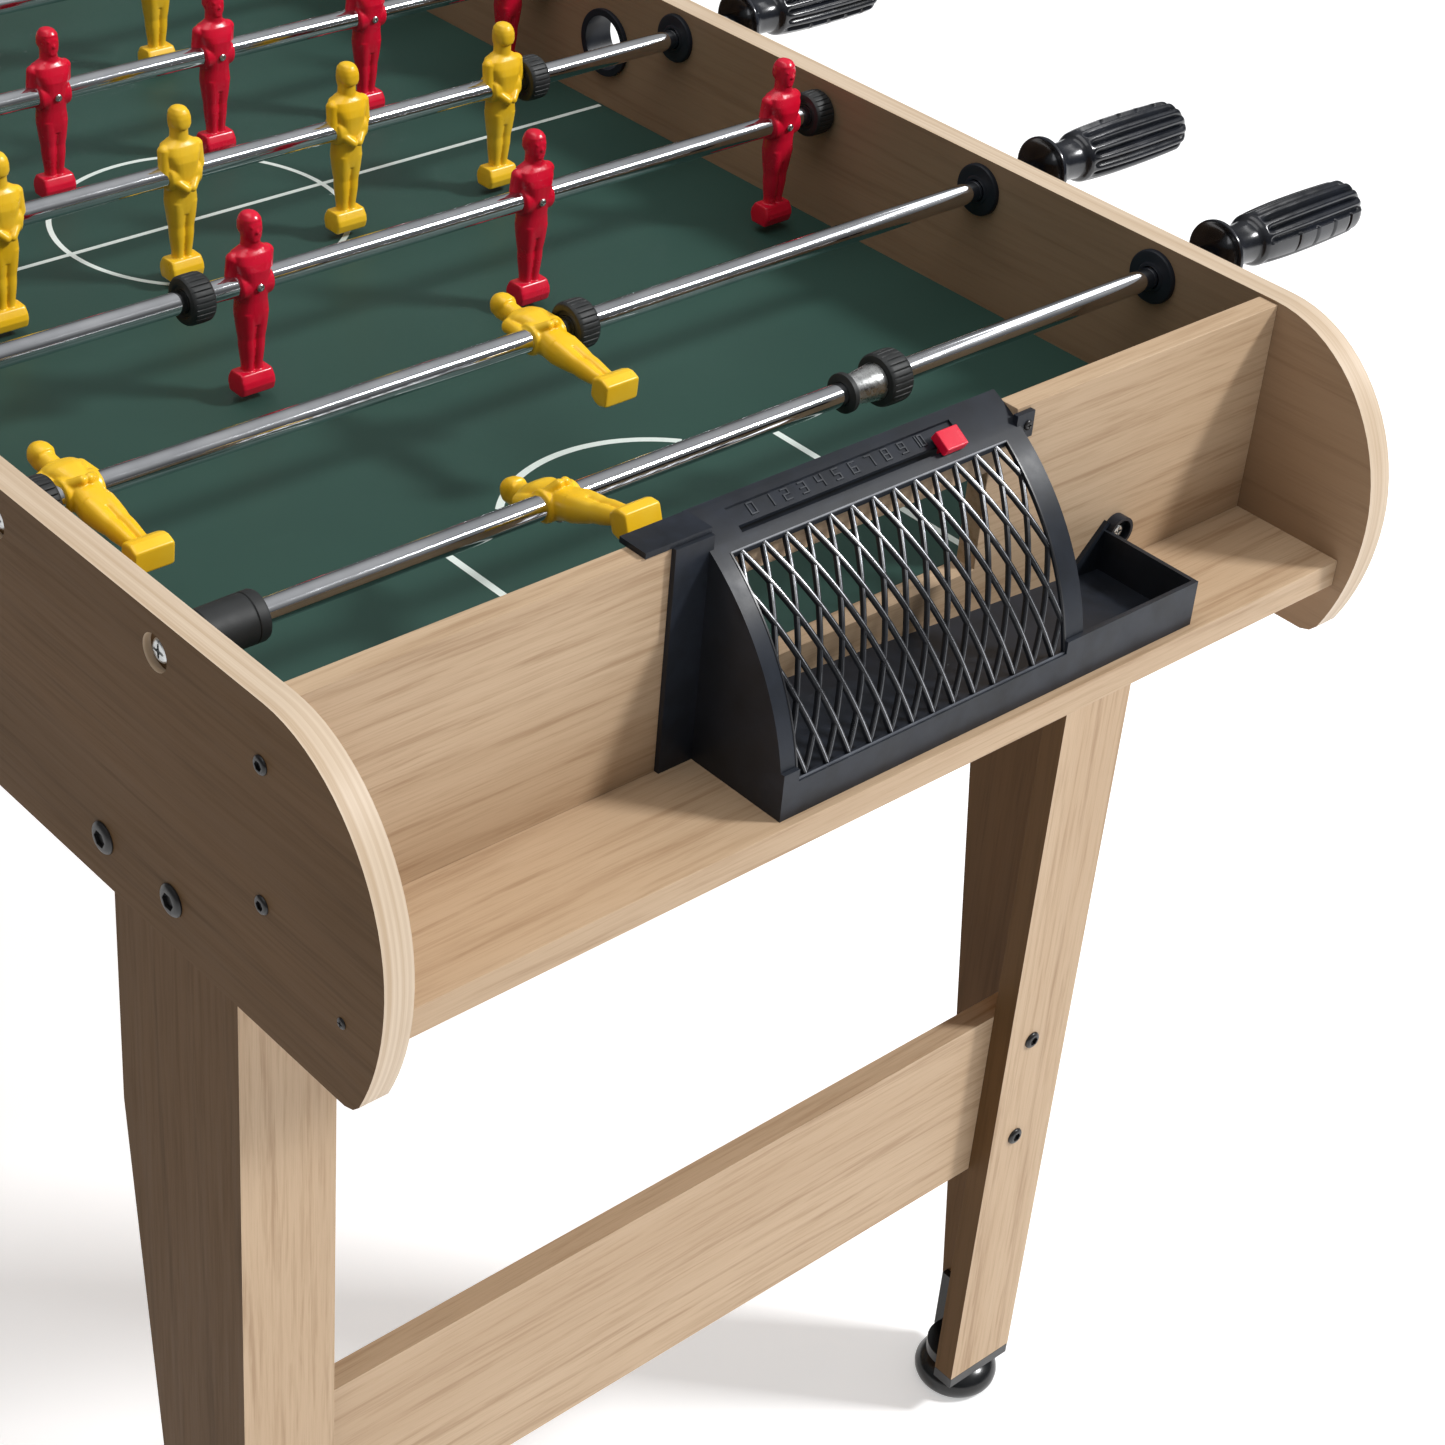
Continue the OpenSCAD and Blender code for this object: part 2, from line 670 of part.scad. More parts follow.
module men_a() { color(YELLOW) at_rod(0, false) team(keeper, keeper_lean); }
module men_b() { color(YELLOW) at_rod(1, false) team(defence, defence_lean); }
module men_c() { color(RED) at_rod(2, true) team(attack, 0); }
module men_d() { color(YELLOW) at_rod(3, false) team(midfield, 0); }
module men_e() { color(RED) at_rod(4, true) team(midfield, 0); }
module men_f() { color(YELLOW) at_rod(5, false) team(attack, 0); }
module men_g() { color(RED) at_rod(6, true) team(defence, 0); }
module men_h() { color(RED) at_rod(7, true) team(keeper, 0); }

module bumpers_a() { color(RUBBER) at_rod(0, false) bumper_pair(keeper); }
module bumpers_b() { color(RUBBER) at_rod(1, false) bumper_pair(defence); }
module bumpers_c() { color(RUBBER) at_rod(2, true) bumper_pair(attack); }
module bumpers_d() { color(RUBBER) at_rod(3, false) bumper_pair(midfield); }
module bumpers_e() { color(RUBBER) at_rod(4, true) bumper_pair(midfield); }
module bumpers_f() { color(RUBBER) at_rod(5, false) bumper_pair(attack); }
module bumpers_g() { color(RUBBER) at_rod(6, true) bumper_pair(defence); }
module bumpers_h() { color(RUBBER) at_rod(7, true) bumper_pair(keeper); }

module grip_a() { color(RUBBER) at_rod(0, false) grip(); }
module grip_b() { color(RUBBER) at_rod(1, false) grip(); }
module grip_c() { color(RUBBER) at_rod(2, true) grip(); }
module grip_d() { color(RUBBER) at_rod(3, false) grip(); }
module grip_e() { color(RUBBER) at_rod(4, true) grip(); }
module grip_f() { color(RUBBER) at_rod(5, false) grip(); }
module grip_g() { color(RUBBER) at_rod(6, true) grip(); }
module grip_h() { color(RUBBER) at_rod(7, true) grip(); }

// Which node to draw, or all of them

near_side_panel();
far_side_panel();
right_end_board();
left_end_board();
right_end_shelf();
left_end_shelf();
playfield();
playfield_battens();
right_goal_box();
left_goal_box();
right_ball_tray();
left_ball_tray();
right_goal_grille();
left_goal_grille();
right_score_slider();
left_score_slider();
bushings();
inner_rods();
fasteners();
serve_cups();
leg_right_far();
leg_right_near();
leg_left_far();
leg_left_near();
cross_rails();
foot_caps();
foot_right_far();
foot_right_near();
foot_left_far();
foot_left_near();
rod_a();
rod_b();
rod_c();
rod_d();
rod_e();
rod_f();
rod_g();
rod_h();
men_a();
men_b();
men_c();
men_d();
men_e();
men_f();
men_g();
men_h();
bumpers_a();
bumpers_b();
bumpers_c();
bumpers_d();
bumpers_e();
bumpers_f();
bumpers_g();
bumpers_h();
grip_a();
grip_b();
grip_c();
grip_d();
grip_e();
grip_f();
grip_g();
grip_h();
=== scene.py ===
"""Looks of a foosball table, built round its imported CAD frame."""
import math

import bmesh
import bpy
import numpy as np
from mathutils import Matrix, Vector


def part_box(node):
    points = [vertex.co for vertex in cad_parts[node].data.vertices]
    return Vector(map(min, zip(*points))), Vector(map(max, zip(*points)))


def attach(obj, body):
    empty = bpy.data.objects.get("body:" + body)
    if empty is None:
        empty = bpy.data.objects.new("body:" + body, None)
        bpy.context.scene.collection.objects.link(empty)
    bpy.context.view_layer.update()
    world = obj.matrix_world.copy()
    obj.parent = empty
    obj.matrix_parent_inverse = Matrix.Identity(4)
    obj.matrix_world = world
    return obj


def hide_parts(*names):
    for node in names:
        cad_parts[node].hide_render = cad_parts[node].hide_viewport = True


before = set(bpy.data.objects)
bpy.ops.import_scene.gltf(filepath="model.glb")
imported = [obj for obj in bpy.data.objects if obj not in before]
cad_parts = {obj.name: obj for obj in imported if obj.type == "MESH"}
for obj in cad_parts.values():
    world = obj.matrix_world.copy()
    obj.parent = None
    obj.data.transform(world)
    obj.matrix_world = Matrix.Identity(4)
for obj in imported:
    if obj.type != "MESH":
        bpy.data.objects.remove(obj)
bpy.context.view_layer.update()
MM = 0.001

# ---------------------------------------------------------------- measures
panel_lo, panel_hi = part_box("far_side_panel")
field_lo, field_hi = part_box("playfield")
INNER_Y = panel_lo.y
OUTER_Y = panel_hi.y
FIELD_Z = field_hi.z
SHELF_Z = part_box("right_end_shelf")[1].z
LEG_FACE_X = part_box("leg_right_far")[1].x
ROD_Z = sum(v.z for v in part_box("rod_a")) / 2

# Rods from the right end to the left one. Yellow handles are on the far side, red ones on the near.
RODS = "abcdefgh"
YELLOW_RODS = "abdf"
MEN_COUNT = {"a": 1, "b": 2, "c": 3, "d": 5, "e": 5, "f": 3, "g": 2, "h": 1}
# Degrees that a rod's players are turned up at rest, from hanging straight.
LEAN = {"a": 108.0, "b": 86.0}
# From a player's centre to the end of the CAD figure's arm.
ARM_REACH = 14.0 * MM


def rod_x(letter):
    lo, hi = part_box("rod_" + letter)
    return (lo.x + hi.x) / 2


def side(letter):
    """+1 where the handle is on the far side, -1 where it is on the near side."""
    return 1 if letter in YELLOW_RODS else -1


# ---------------------------------------------------------------- materials
def srgb(r, g, b):
    """A colour given as 0-255 screen values, as linear light."""
    out = []
    for c in (r, g, b):
        c = c / 255
        out.append(c / 12.92 if c <= 0.04045 else ((c + 0.055) / 1.055) ** 2.4)
    return (*out, 1.0)


class Look:
    """Builds one node material. It reads object coordinates, so noise scales are per metre."""

    def __init__(self, name, **shader):
        self.mat = bpy.data.materials.new(name)
        self.mat.use_nodes = True
        self.tree = self.mat.node_tree
        self.shader = self.tree.nodes["Principled BSDF"]
        for key, value in shader.items():
            self.shader.inputs[key.replace("_", " ")].default_value = value

    def node(self, kind, inputs=None, **settings):
        made = self.tree.nodes.new("ShaderNode" + kind)
        for key, value in settings.items():
            setattr(made, key, value)
        for key, value in (inputs or {}).items():
            self.put(made.inputs[key], value)
        return made

    def put(self, socket, value):
        if isinstance(value, bpy.types.NodeSocket):
            self.tree.links.new(value, socket)
        else:
            socket.default_value = value

    def coords(self, stretch=(1, 1, 1)):
        where = self.node("TexCoord").outputs["Object"]
        return self.node("Mapping", {"Vector": where, "Scale": stretch}).outputs[0]

    def noise(self, where, scale=1.0, detail=4.0, rough=0.55, bend=0.0):
        return self.node("TexNoise", {
            "Vector": where, "Scale": scale, "Detail": detail, "Roughness": rough, "Distortion": bend,
        }).outputs["Fac"]

    def ramp(self, fac, low, high, start=0.0, end=1.0):
        """Maps fac from low..high to start..end, held at the ends."""
        return self.node("MapRange", {
            "Value": fac, "From Min": low, "From Max": high, "To Min": start, "To Max": end,
        }).outputs[0]

    def math(self, kind, a, b=0.0):
        return self.node("Math", {0: a, 1: b}, operation=kind).outputs[0]

    def mix(self, fac, a, b):
        """Colour a where fac is 0 and colour b where it is 1."""
        made = self.node("Mix", data_type="RGBA")
        self.put(made.inputs["Factor"], fac)
        self.put(made.inputs[6], a)
        self.put(made.inputs[7], b)
        return made.outputs[2]

    def colour(self, value):
        self.put(self.shader.inputs["Base Color"], value)

    def rough(self, value):
        self.put(self.shader.inputs["Roughness"], value)

    def bump(self, height, strength, distance):
        values = {"Height": height, "Strength": strength, "Distance": distance}
        self.put(self.shader.inputs["Normal"], self.node("Bump", values).outputs[0])

    def wear(self, amount=0.5, tilt=0.02):
        """A mask that is 1 on convex edges, broken up by noise."""
        point = self.node("NewGeometry").outputs["Pointiness"]
        edge = self.ramp(point, 0.5 + tilt, 0.5 + 3 * tilt)
        patches = self.ramp(self.noise(self.coords(), 90, 5), 0.42, 0.62)
        return self.math("MULTIPLY", self.math("MULTIPLY", edge, patches), amount)


def wood(name, axis, tones, contrast=1.0, shine=0.3):
    """Printed wood laminate with its grain along axis 0, 1 or 2; tones are light, dark and line."""
    look = Look(name, Roughness=0.5, Specular_IOR_Level=shine)
    light, dark, line = tones

    def along(length, across):
        return tuple(length if k == axis else across for k in range(3))

    hair = look.noise(look.coords(along(30, 1500)), 1, 3, 0.6)
    fibre = look.noise(look.coords(along(13, 330)), 1, 4, 0.62, 0.25)
    streak = look.noise(look.coords(along(3.2, 95)), 1, 4, 0.6, 0.5)
    cloud = look.noise(look.coords(along(1.5, 12)), 1, 3, 0.5)
    waves = look.node("TexWave", {
        "Vector": look.coords(along(0.9, 26)), "Scale": 1.0, "Distortion": 9.0,
        "Detail": 3.0, "Detail Scale": 0.5, "Detail Roughness": 0.6,
    }, bands_direction="DIAGONAL").outputs["Fac"]
    rings = look.ramp(waves, 0.18, 0.0, 0.0, 0.5 * contrast)
    base = look.mix(look.ramp(cloud, 0.32, 0.68), light, dark)
    base = look.mix(look.ramp(streak, 0.40, 0.68, 0.0, 0.6 * contrast), base, dark)
    base = look.mix(look.ramp(fibre, 0.50, 0.70, 0.0, 0.5 * contrast), base, line)
    base = look.mix(look.math("MULTIPLY", rings, look.ramp(fibre, 0.35, 0.6)), base, line)
    base = look.mix(look.ramp(hair, 0.48, 0.72, 0.0, 0.3 * contrast), base, line)
    look.colour(base)
    look.rough(look.ramp(fibre, 0.3, 0.7, 0.44, 0.56))
    look.bump(look.math("ADD", hair, fibre), 0.16, 0.00015)
    return look.mat


def edge_band(name, light, dark):
    """Edge banding: fine streaks run along the board's rim, whichever way the rim turns."""
    look = Look(name, Roughness=0.48, Specular_IOR_Level=0.35)
    lines = look.noise(look.coords((3, 520, 3)), 1, 3, 0.6)
    drift = look.noise(look.coords((9, 60, 9)), 1, 4, 0.6)
    tone = look.mix(look.ramp(lines, 0.38, 0.66, 0.0, 0.75), light, dark)
    look.colour(look.mix(look.ramp(drift, 0.45, 0.75, 0.0, 0.4), tone, dark))
    look.rough(look.ramp(lines, 0.3, 0.7, 0.42, 0.54))
    look.bump(lines, 0.12, 0.00012)
    return look.mat


# OAK is the laminate's own colour. The two darker copies below are the same laminate with painted
# shade. They have weaker grain and less sheen, and they colour the table's side faces as those look
# in shade, whichever way the faces turn to the lamps.
OAK = (srgb(206, 180, 150), srgb(192, 164, 133), srgb(160, 129, 98))
# The side panels' inner faces: the oak laminate darkened as painted shade, a little less than the
# outer faces, because the panels already shade these faces from the lamps.
INNER_OAK_PAINTED_SHADE = (srgb(166, 139, 112), srgb(154, 127, 100), srgb(130, 104, 80))
# The side panels' outer faces and the legs' side boards: the oak laminate darkened into a brown as
# painted shade.
OAK_PAINTED_SHADE = (srgb(104, 78, 51), srgb(94, 70, 44), srgb(75, 55, 34))

oak_y = wood("oak_laminate_y", 1, OAK)
oak_z = wood("oak_laminate_z", 2, OAK)
inner_oak_painted_shade_x = wood("inner_laminate_painted_shade_x", 0, INNER_OAK_PAINTED_SHADE, 0.6, 0.2)
oak_painted_shade_x = wood("oak_laminate_painted_shade_x", 0, OAK_PAINTED_SHADE, 0.6, 0.08)
oak_painted_shade_z = wood("oak_laminate_painted_shade_z", 2, OAK_PAINTED_SHADE, 0.6, 0.08)
rim_mat = edge_band("oak_edge_band", srgb(218, 198, 174), srgb(190, 164, 134))


def fibreboard():
    """Raw fibreboard, speckled and matt."""
    look = Look("raw_fibreboard", Roughness=0.85)
    speck = look.noise(look.coords(), 900, 4, 0.7)
    cloud = look.noise(look.coords(), 14, 3)
    tone = look.mix(look.ramp(cloud, 0.3, 0.7), srgb(139, 105, 72), srgb(120, 88, 60))
    look.colour(look.mix(look.ramp(speck, 0.35, 0.75, 0.0, 0.5), tone, srgb(92, 64, 42)))
    look.bump(speck, 0.3, 0.0003)
    return look.mat


def field_print():
    """The printed field: fine grain, slow drift of tone and faint scuffs across the table."""
    look = Look("green_field_print", Roughness=0.5, Specular_IOR_Level=0.22)
    grain = look.noise(look.coords(), 1500, 3, 0.6)
    cloud = look.noise(look.coords(), 5, 3)
    scuff = look.ramp(look.noise(look.coords((22, 5, 5)), 3, 6, 0.7), 0.62, 0.8, 0.0, 0.16)
    tone = look.mix(look.ramp(cloud, 0.3, 0.7), srgb(48, 77, 69), srgb(42, 70, 63))
    tone = look.mix(look.ramp(grain, 0.4, 0.7, 0.0, 0.25), tone, srgb(60, 90, 80))
    look.colour(look.mix(scuff, tone, srgb(62, 92, 83)))
    look.rough(look.ramp(grain, 0.3, 0.7, 0.45, 0.58))
    look.bump(grain, 0.12, 0.0001)
    return look.mat


def plastic(name, deep, pale, rough, grain=900, bump=0.12, wear=0.35, shine=0.5):
    """Moulded plastic with a fine skin, soft colour drift and paler worn edges."""
    look = Look(name, Specular_IOR_Level=shine)
    skin = look.noise(look.coords(), grain, 4, 0.6)
    cloud = look.noise(look.coords(), 38, 3)
    tone = look.mix(look.ramp(cloud, 0.3, 0.7, 0.0, 0.6), deep, pale)
    look.colour(look.mix(look.wear(wear), tone, pale))
    smudge = look.noise(look.coords(), 60, 5, 0.65)
    look.rough(look.ramp(smudge, 0.3, 0.7, rough - 0.04, rough + 0.08))
    look.bump(skin, bump, 0.00012)
    return look.mat


def steel(name, tone, rough, scratches=(1500, 60, 1500), bump=0.05):
    """Bright steel; scratches are noise scales, low along the way that the scratches run."""
    look = Look(name, Metallic=1.0)
    lines = look.noise(look.coords(scratches), 1, 4, 0.6)
    cloud = look.noise(look.coords(), 30, 3)
    look.colour(look.mix(look.ramp(cloud, 0.3, 0.7, 0.0, 0.5), tone, srgb(172, 176, 182)))
    look.rough(look.ramp(lines, 0.3, 0.7, rough * 0.7, rough * 1.5))
    look.bump(lines, bump, 0.00005)
    return look.mat


def ink():
    """White printed lines, worn thin in places."""
    look = Look("white_line_ink", Roughness=0.5)
    grain = look.noise(look.coords(), 1300, 3, 0.6)
    worn = look.noise(look.coords(), 26, 5, 0.65)
    speck = look.ramp(grain, 0.5, 0.75, 0.0, 0.2)
    tone = look.mix(speck, srgb(226, 236, 230), srgb(170, 190, 180))
    look.colour(look.mix(look.ramp(worn, 0.6, 0.8, 0.0, 0.5), tone, srgb(150, 176, 165)))
    look.bump(grain, 0.1, 0.0001)
    return look.mat


field_mat = field_print()
board_mat = fibreboard()
ink_mat = ink()
# Name, deep colour, pale colour, roughness, grain of the skin, bump, wear and shine.
black_mat = plastic("black_plastic", srgb(29, 32, 37), srgb(42, 47, 57), 0.36, 1100, 0.14, 0.5, 0.22)
handle_mat = plastic("handle_plastic", srgb(15, 17, 21), srgb(40, 44, 54), 0.17, 700, 0.04, 0.5, 0.6)
rubber_mat = plastic("black_rubber", srgb(24, 26, 27), srgb(44, 47, 48), 0.55, 1200, 0.25, 0.5)
foot_mat = plastic("foot_plastic", srgb(18, 20, 22), srgb(32, 34, 37), 0.20, 400, 0.04, 0.2)
yellow_mat = plastic("yellow_plastic", srgb(252, 196, 16), srgb(255, 214, 64), 0.30, 800, 0.08, 0.3)
red_mat = plastic("red_plastic", srgb(216, 6, 44), srgb(232, 30, 66), 0.22, 700, 0.05, 0.3)
bolt_mat = plastic("black_bolt", srgb(14, 14, 16), srgb(46, 44, 44), 0.30, 900, 0.1, 0.7)
strand_mat = plastic("grille_dark", srgb(16, 17, 20), srgb(40, 42, 47), 0.30, 900, 0.08, 0.4)
# The window's top and bottom beads are paler than the black plastic, as a painted highlight along
# those edges.
rim_painted_highlight_mat = plastic("grille_rim_painted_highlight", srgb(70, 74, 82), srgb(120, 124, 132), 0.30, 900, 0.08, 0.4)
score_mat = plastic("score_numbers", srgb(36, 39, 44), srgb(66, 70, 77), 0.32, 900, 0.08, 0.5)
# Name, colour, roughness, scratches and bump.
chrome_mat = steel("chrome_tube", srgb(232, 234, 238), 0.06, bump=0.02)
screw_mat = steel("zinc_screw", srgb(205, 206, 204), 0.26, (400, 400, 400), 0.1)
# Painted highlights: pale steel lines on the grille's strands stand for the glints on their glossy
# backs. The dim one is for the second family.
painted_highlight_mat = steel("grille_painted_highlight", srgb(180, 182, 188), 0.3, (300, 300, 300), 0.1)
painted_highlight_dim_mat = steel("grille_painted_highlight_dim", srgb(92, 94, 100), 0.36, (300, 300, 300), 0.1)


# ---------------------------------------------------------------- mesh tools
class Shape:
    """Collects the faces of one piece before it becomes an object."""

    def __init__(self):
        self.verts = []
        self.faces = []
        self.slots = []

    def add(self, part, slot=0, move=None):
        verts, faces = part
        start = len(self.verts)
        for v in verts:
            self.verts.append(tuple(move @ Vector(v)) if move is not None else tuple(v))
        for face in faces:
            self.faces.append(tuple(i + start for i in face))
            self.slots.append(slot)
        return self

    def mesh(self, name):
        """The shape as a mesh with its faces turned outwards."""
        made = bpy.data.meshes.new(name)
        made.from_pydata(self.verts, [], self.faces)
        made.polygons.foreach_set("material_index", self.slots)
        work = bmesh.new()
        work.from_mesh(made)
        bmesh.ops.recalc_face_normals(work, faces=work.faces)
        work.to_mesh(made)
        work.free()
        return made

    def piece(self, name, looks, body, slot, smooth=38, replaces=()):
        """Makes the piece and lets it ride on a CAD body; edges under smooth degrees are smooth."""
        mesh = self.mesh(name)
        for look in looks:
            mesh.materials.append(look)
        mesh.polygons.foreach_set("use_smooth", [True] * len(mesh.polygons))
        mesh.set_sharp_from_angle(angle=math.radians(smooth))
        made = bpy.data.objects.new(name, mesh)
        bpy.context.scene.collection.objects.link(made)
        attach(made, body)
        if replaces:
            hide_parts(*replaces)


def loft(rings, loop=False):
    """Skin over rings of points, closed with caps, or joined end to end."""
    count = len(rings[0])
    verts = [p for ring in rings for p in ring]
    faces = []
    for r in range(len(rings) if loop else len(rings) - 1):
        s = (r + 1) % len(rings)
        for i in range(count):
            j = (i + 1) % count
            faces.append((r * count + i, r * count + j, s * count + j, s * count + i))
    if not loop:
        faces.append(tuple(reversed(range(count))))
        faces.append(tuple((len(rings) - 1) * count + i for i in range(count)))
    return verts, faces


def turned(profile, sides=48, ripple=None, loop=False):
    """A turned part round +Y from (along, radius) pairs in mm.

    ripple(along, angle, radius) gives a new radius. loop joins the last pair to the first.
    """
    rings = []
    for along, radius in profile:
        ring = []
        for i in range(sides):
            angle = 2 * math.pi * i / sides
            r = ripple(along, angle, radius) if ripple else radius
            ring.append((r * math.cos(angle) * MM, along * MM, r * math.sin(angle) * MM))
        rings.append(ring)
    return loft(rings, loop)


def oval(z, wide, deep, power=2.4, forward=0.0, sides=28):
    """A rounded cross-section at height z, in mm, with half sizes wide along Y and deep along X.

    power 2 is an ellipse, and a higher one is squarer. forward moves it along X.
    """
    ring = []
    for i in range(sides):
        angle = 2 * math.pi * i / sides
        c, s = math.cos(angle), math.sin(angle)
        x = math.copysign(abs(c) ** (2 / power), c) * deep + forward
        y = math.copysign(abs(s) ** (2 / power), s) * wide
        ring.append((x * MM, y * MM, z * MM))
    return ring


def stack(rows):
    """A closed solid through ovals given as (height, wide, deep, power, forward) rows."""
    return loft([oval(*row) for row in rows])


def limb(start, end, r0, r1, sides=18, steps=5):
    """A round-ended limb between two points, with a radius at each, in mm."""
    a, b = Vector(start), Vector(end)
    along = (b - a).normalized()
    across = along.orthogonal().normalized()
    other = along.cross(across)
    stations = []
    for k in range(steps):
        t = math.pi / 2 * (1 - k / steps)
        stations.append((a - along * r0 * math.sin(t), max(r0 * math.cos(t), 0.05)))
    for k in range(steps + 1):
        t = math.pi / 2 * k / steps
        stations.append((b + along * r1 * math.sin(t), max(r1 * math.cos(t), 0.05)))
    rings = []
    for centre, r in stations:
        ring = []
        for i in range(sides):
            angle = 2 * math.pi * i / sides
            spoke = across * math.cos(angle) + other * math.sin(angle)
            ring.append(tuple((centre + spoke * r) * MM))
        rings.append(ring)
    return loft(rings)


def block(lo, hi, radius):
    """A box with bevelled edges between two corners, in mm."""
    work = bmesh.new()
    bmesh.ops.create_cube(work, size=1)
    size = [b - a for a, b in zip(lo, hi)]
    for v in work.verts:
        v.co = Vector([lo[k] + (v.co[k] + 0.5) * size[k] for k in range(3)]) * MM
    bmesh.ops.bevel(
        work, geom=list(work.edges), offset=radius * MM, segments=1, profile=0.5, affect="EDGES"
    )
    verts = [tuple(v.co) for v in work.verts]
    faces = [tuple(v.index for v in f.verts) for f in work.faces]
    work.free()
    return verts, faces


def ribbon(points, width, low, high, closed=False):
    """A flat band of one width along (x, y) points, from height low to high, in metres."""
    rings = []
    count = len(points)
    for i, p in enumerate(points):
        before = points[i - 1] if i or closed else p
        after = points[(i + 1) % count] if i < count - 1 or closed else p
        ahead = Vector((after[0] - before[0], after[1] - before[1])).normalized()
        left = Vector((-ahead.y, ahead.x)) * width / 2
        rings.append([
            (p[0] + left.x, p[1] + left.y, low),
            (p[0] + left.x, p[1] + left.y, high),
            (p[0] - left.x, p[1] - left.y, high),
            (p[0] - left.x, p[1] - left.y, low),
        ])
    return loft(rings, closed)


def at(x, y, z, turn):
    """Moves a part to a place, turned about Z by so many degrees."""
    return Matrix.Translation((x, y, z)) @ Matrix.Rotation(math.radians(turn), 4, "Z")


# ---------------------------------------------------------------- CAD boards
def dress(node, looks, edge=0.5, pick=None):
    """Gives a CAD node its materials and rounds its edges by so many mm.

    pick(normal, centre) gives the number of a face's material.
    """
    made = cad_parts[node]
    mesh = made.data
    mesh.materials.clear()
    for look in looks:
        mesh.materials.append(look)
    chosen = [pick(p.normal, p.center) if pick else 0 for p in mesh.polygons]
    mesh.polygons.foreach_set("material_index", chosen)
    if "custom_normal" in mesh.attributes:
        mesh.attributes.remove(mesh.attributes["custom_normal"])
    mesh.polygons.foreach_set("use_smooth", [True] * len(mesh.polygons))
    weld = made.modifiers.new("weld", "WELD")
    weld.merge_threshold = 2e-6
    flat = made.modifiers.new("flat", "DECIMATE")
    flat.decimate_type = "DISSOLVE"
    flat.angle_limit = math.radians(0.6)
    flat.delimit = {"MATERIAL"}
    bevel = made.modifiers.new("edge", "BEVEL")
    bevel.width = edge * MM
    bevel.segments = 2
    bevel.limit_method = "ANGLE"
    bevel.angle_limit = math.radians(35)
    bevel.use_clamp_overlap = True
    bevel.harden_normals = True


def by_side(normal, centre):
    """0 on the table's outer side, 1 on its inner side and 2 on the rest, for a lengthwise board."""
    if abs(normal.y) < 0.9:
        return 2
    return 0 if normal.y * centre.y > 0 else 1


def by_top(normal, centre):
    """0 on top and 1 on the rest."""
    return 0 if normal.z > 0.9 else 1


# Side panels: outer faces in the darker laminate and inner faces in the inner one, both painted
# shade. The rims are in the edge band.
for node in ("near_side_panel", "far_side_panel"):
    dress(node, [oak_painted_shade_x, inner_oak_painted_shade_x, rim_mat], 0.6, by_side)
# Legs: both faces of each side board in the darker laminate as painted shade. The front boards are in
# plain oak.
for node in ("leg_right_far", "leg_right_near", "leg_left_far", "leg_left_near"):
    dress(node, [oak_painted_shade_z, oak_painted_shade_z, oak_z], pick=by_side)
for end in ("right_", "left_"):
    dress(end + "end_board", [oak_y])
    dress(end + "end_shelf", [oak_y])
    dress(end + "goal_box", [black_mat])
    dress(end + "ball_tray", [black_mat])
    dress(end + "score_slider", [red_mat], 0.8)
dress("cross_rails", [oak_y])
dress("playfield_battens", [board_mat], 0.6)
dress("playfield", [field_mat, board_mat], 0.3, by_top)
dress("serve_cups", [black_mat])
dress("foot_caps", [foot_mat], 0.7)
for letter in RODS:
    dress("rod_" + letter, [chrome_mat], 0.2)
dress("inner_rods", [chrome_mat], 0.2)

# ---------------------------------------------------------------- field lines
LINE = 3.2 * MM
GOAL_LINE = LINE * 1.3
LINE_END_GAP = 2 * MM
CIRCLE_R = 86 * MM
GOAL_ARC_X = 329 * MM
GOAL_ARC_SAG = 25.5 * MM
GOAL_ARC_HALF = 60 * MM
AREA_Y = 107 * MM
AREA_X = 374 * MM


def arc(x, radius, start, end, steps):
    """Points of an arc round (x, 0), from one angle to another."""
    angles = [start + (end - start) * k / steps for k in range(steps + 1)]
    return [(x + radius * math.cos(angle), radius * math.sin(angle)) for angle in angles]


def field_lines():
    """Halfway line, centre circle, and at each goal an arc and two short lines."""
    low, high = FIELD_Z - 0.05 * MM, FIELD_Z + 0.06 * MM
    lines = Shape()
    ends = [(0, field_lo.y + LINE_END_GAP), (0, field_hi.y - LINE_END_GAP)]
    lines.add(ribbon(ends, LINE, low, high))
    # The circle stands a hair higher, so that it doesn't share a face with the halfway line.
    circle = arc(0, CIRCLE_R, 0, 2 * math.pi, 96)[:-1]
    lines.add(ribbon(circle, LINE, low, high + 0.02 * MM, True))
    radius = (GOAL_ARC_HALF ** 2 + GOAL_ARC_SAG ** 2) / (2 * GOAL_ARC_SAG)
    spread = math.asin(GOAL_ARC_HALF / radius)
    for s in (1, -1):
        turn = math.pi if s > 0 else 0
        bow = arc(s * (GOAL_ARC_X + radius), radius, turn - spread, turn + spread, 40)
        lines.add(ribbon(bow, GOAL_LINE, low, high))
        for y in (-AREA_Y, AREA_Y):
            ends = [(s * AREA_X, y), (s * (field_hi.x - LINE_END_GAP), y)]
            lines.add(ribbon(ends, GOAL_LINE, low, high))
    lines.piece("field_lines", [ink_mat], "cabinet", "field_print", 30)


field_lines()


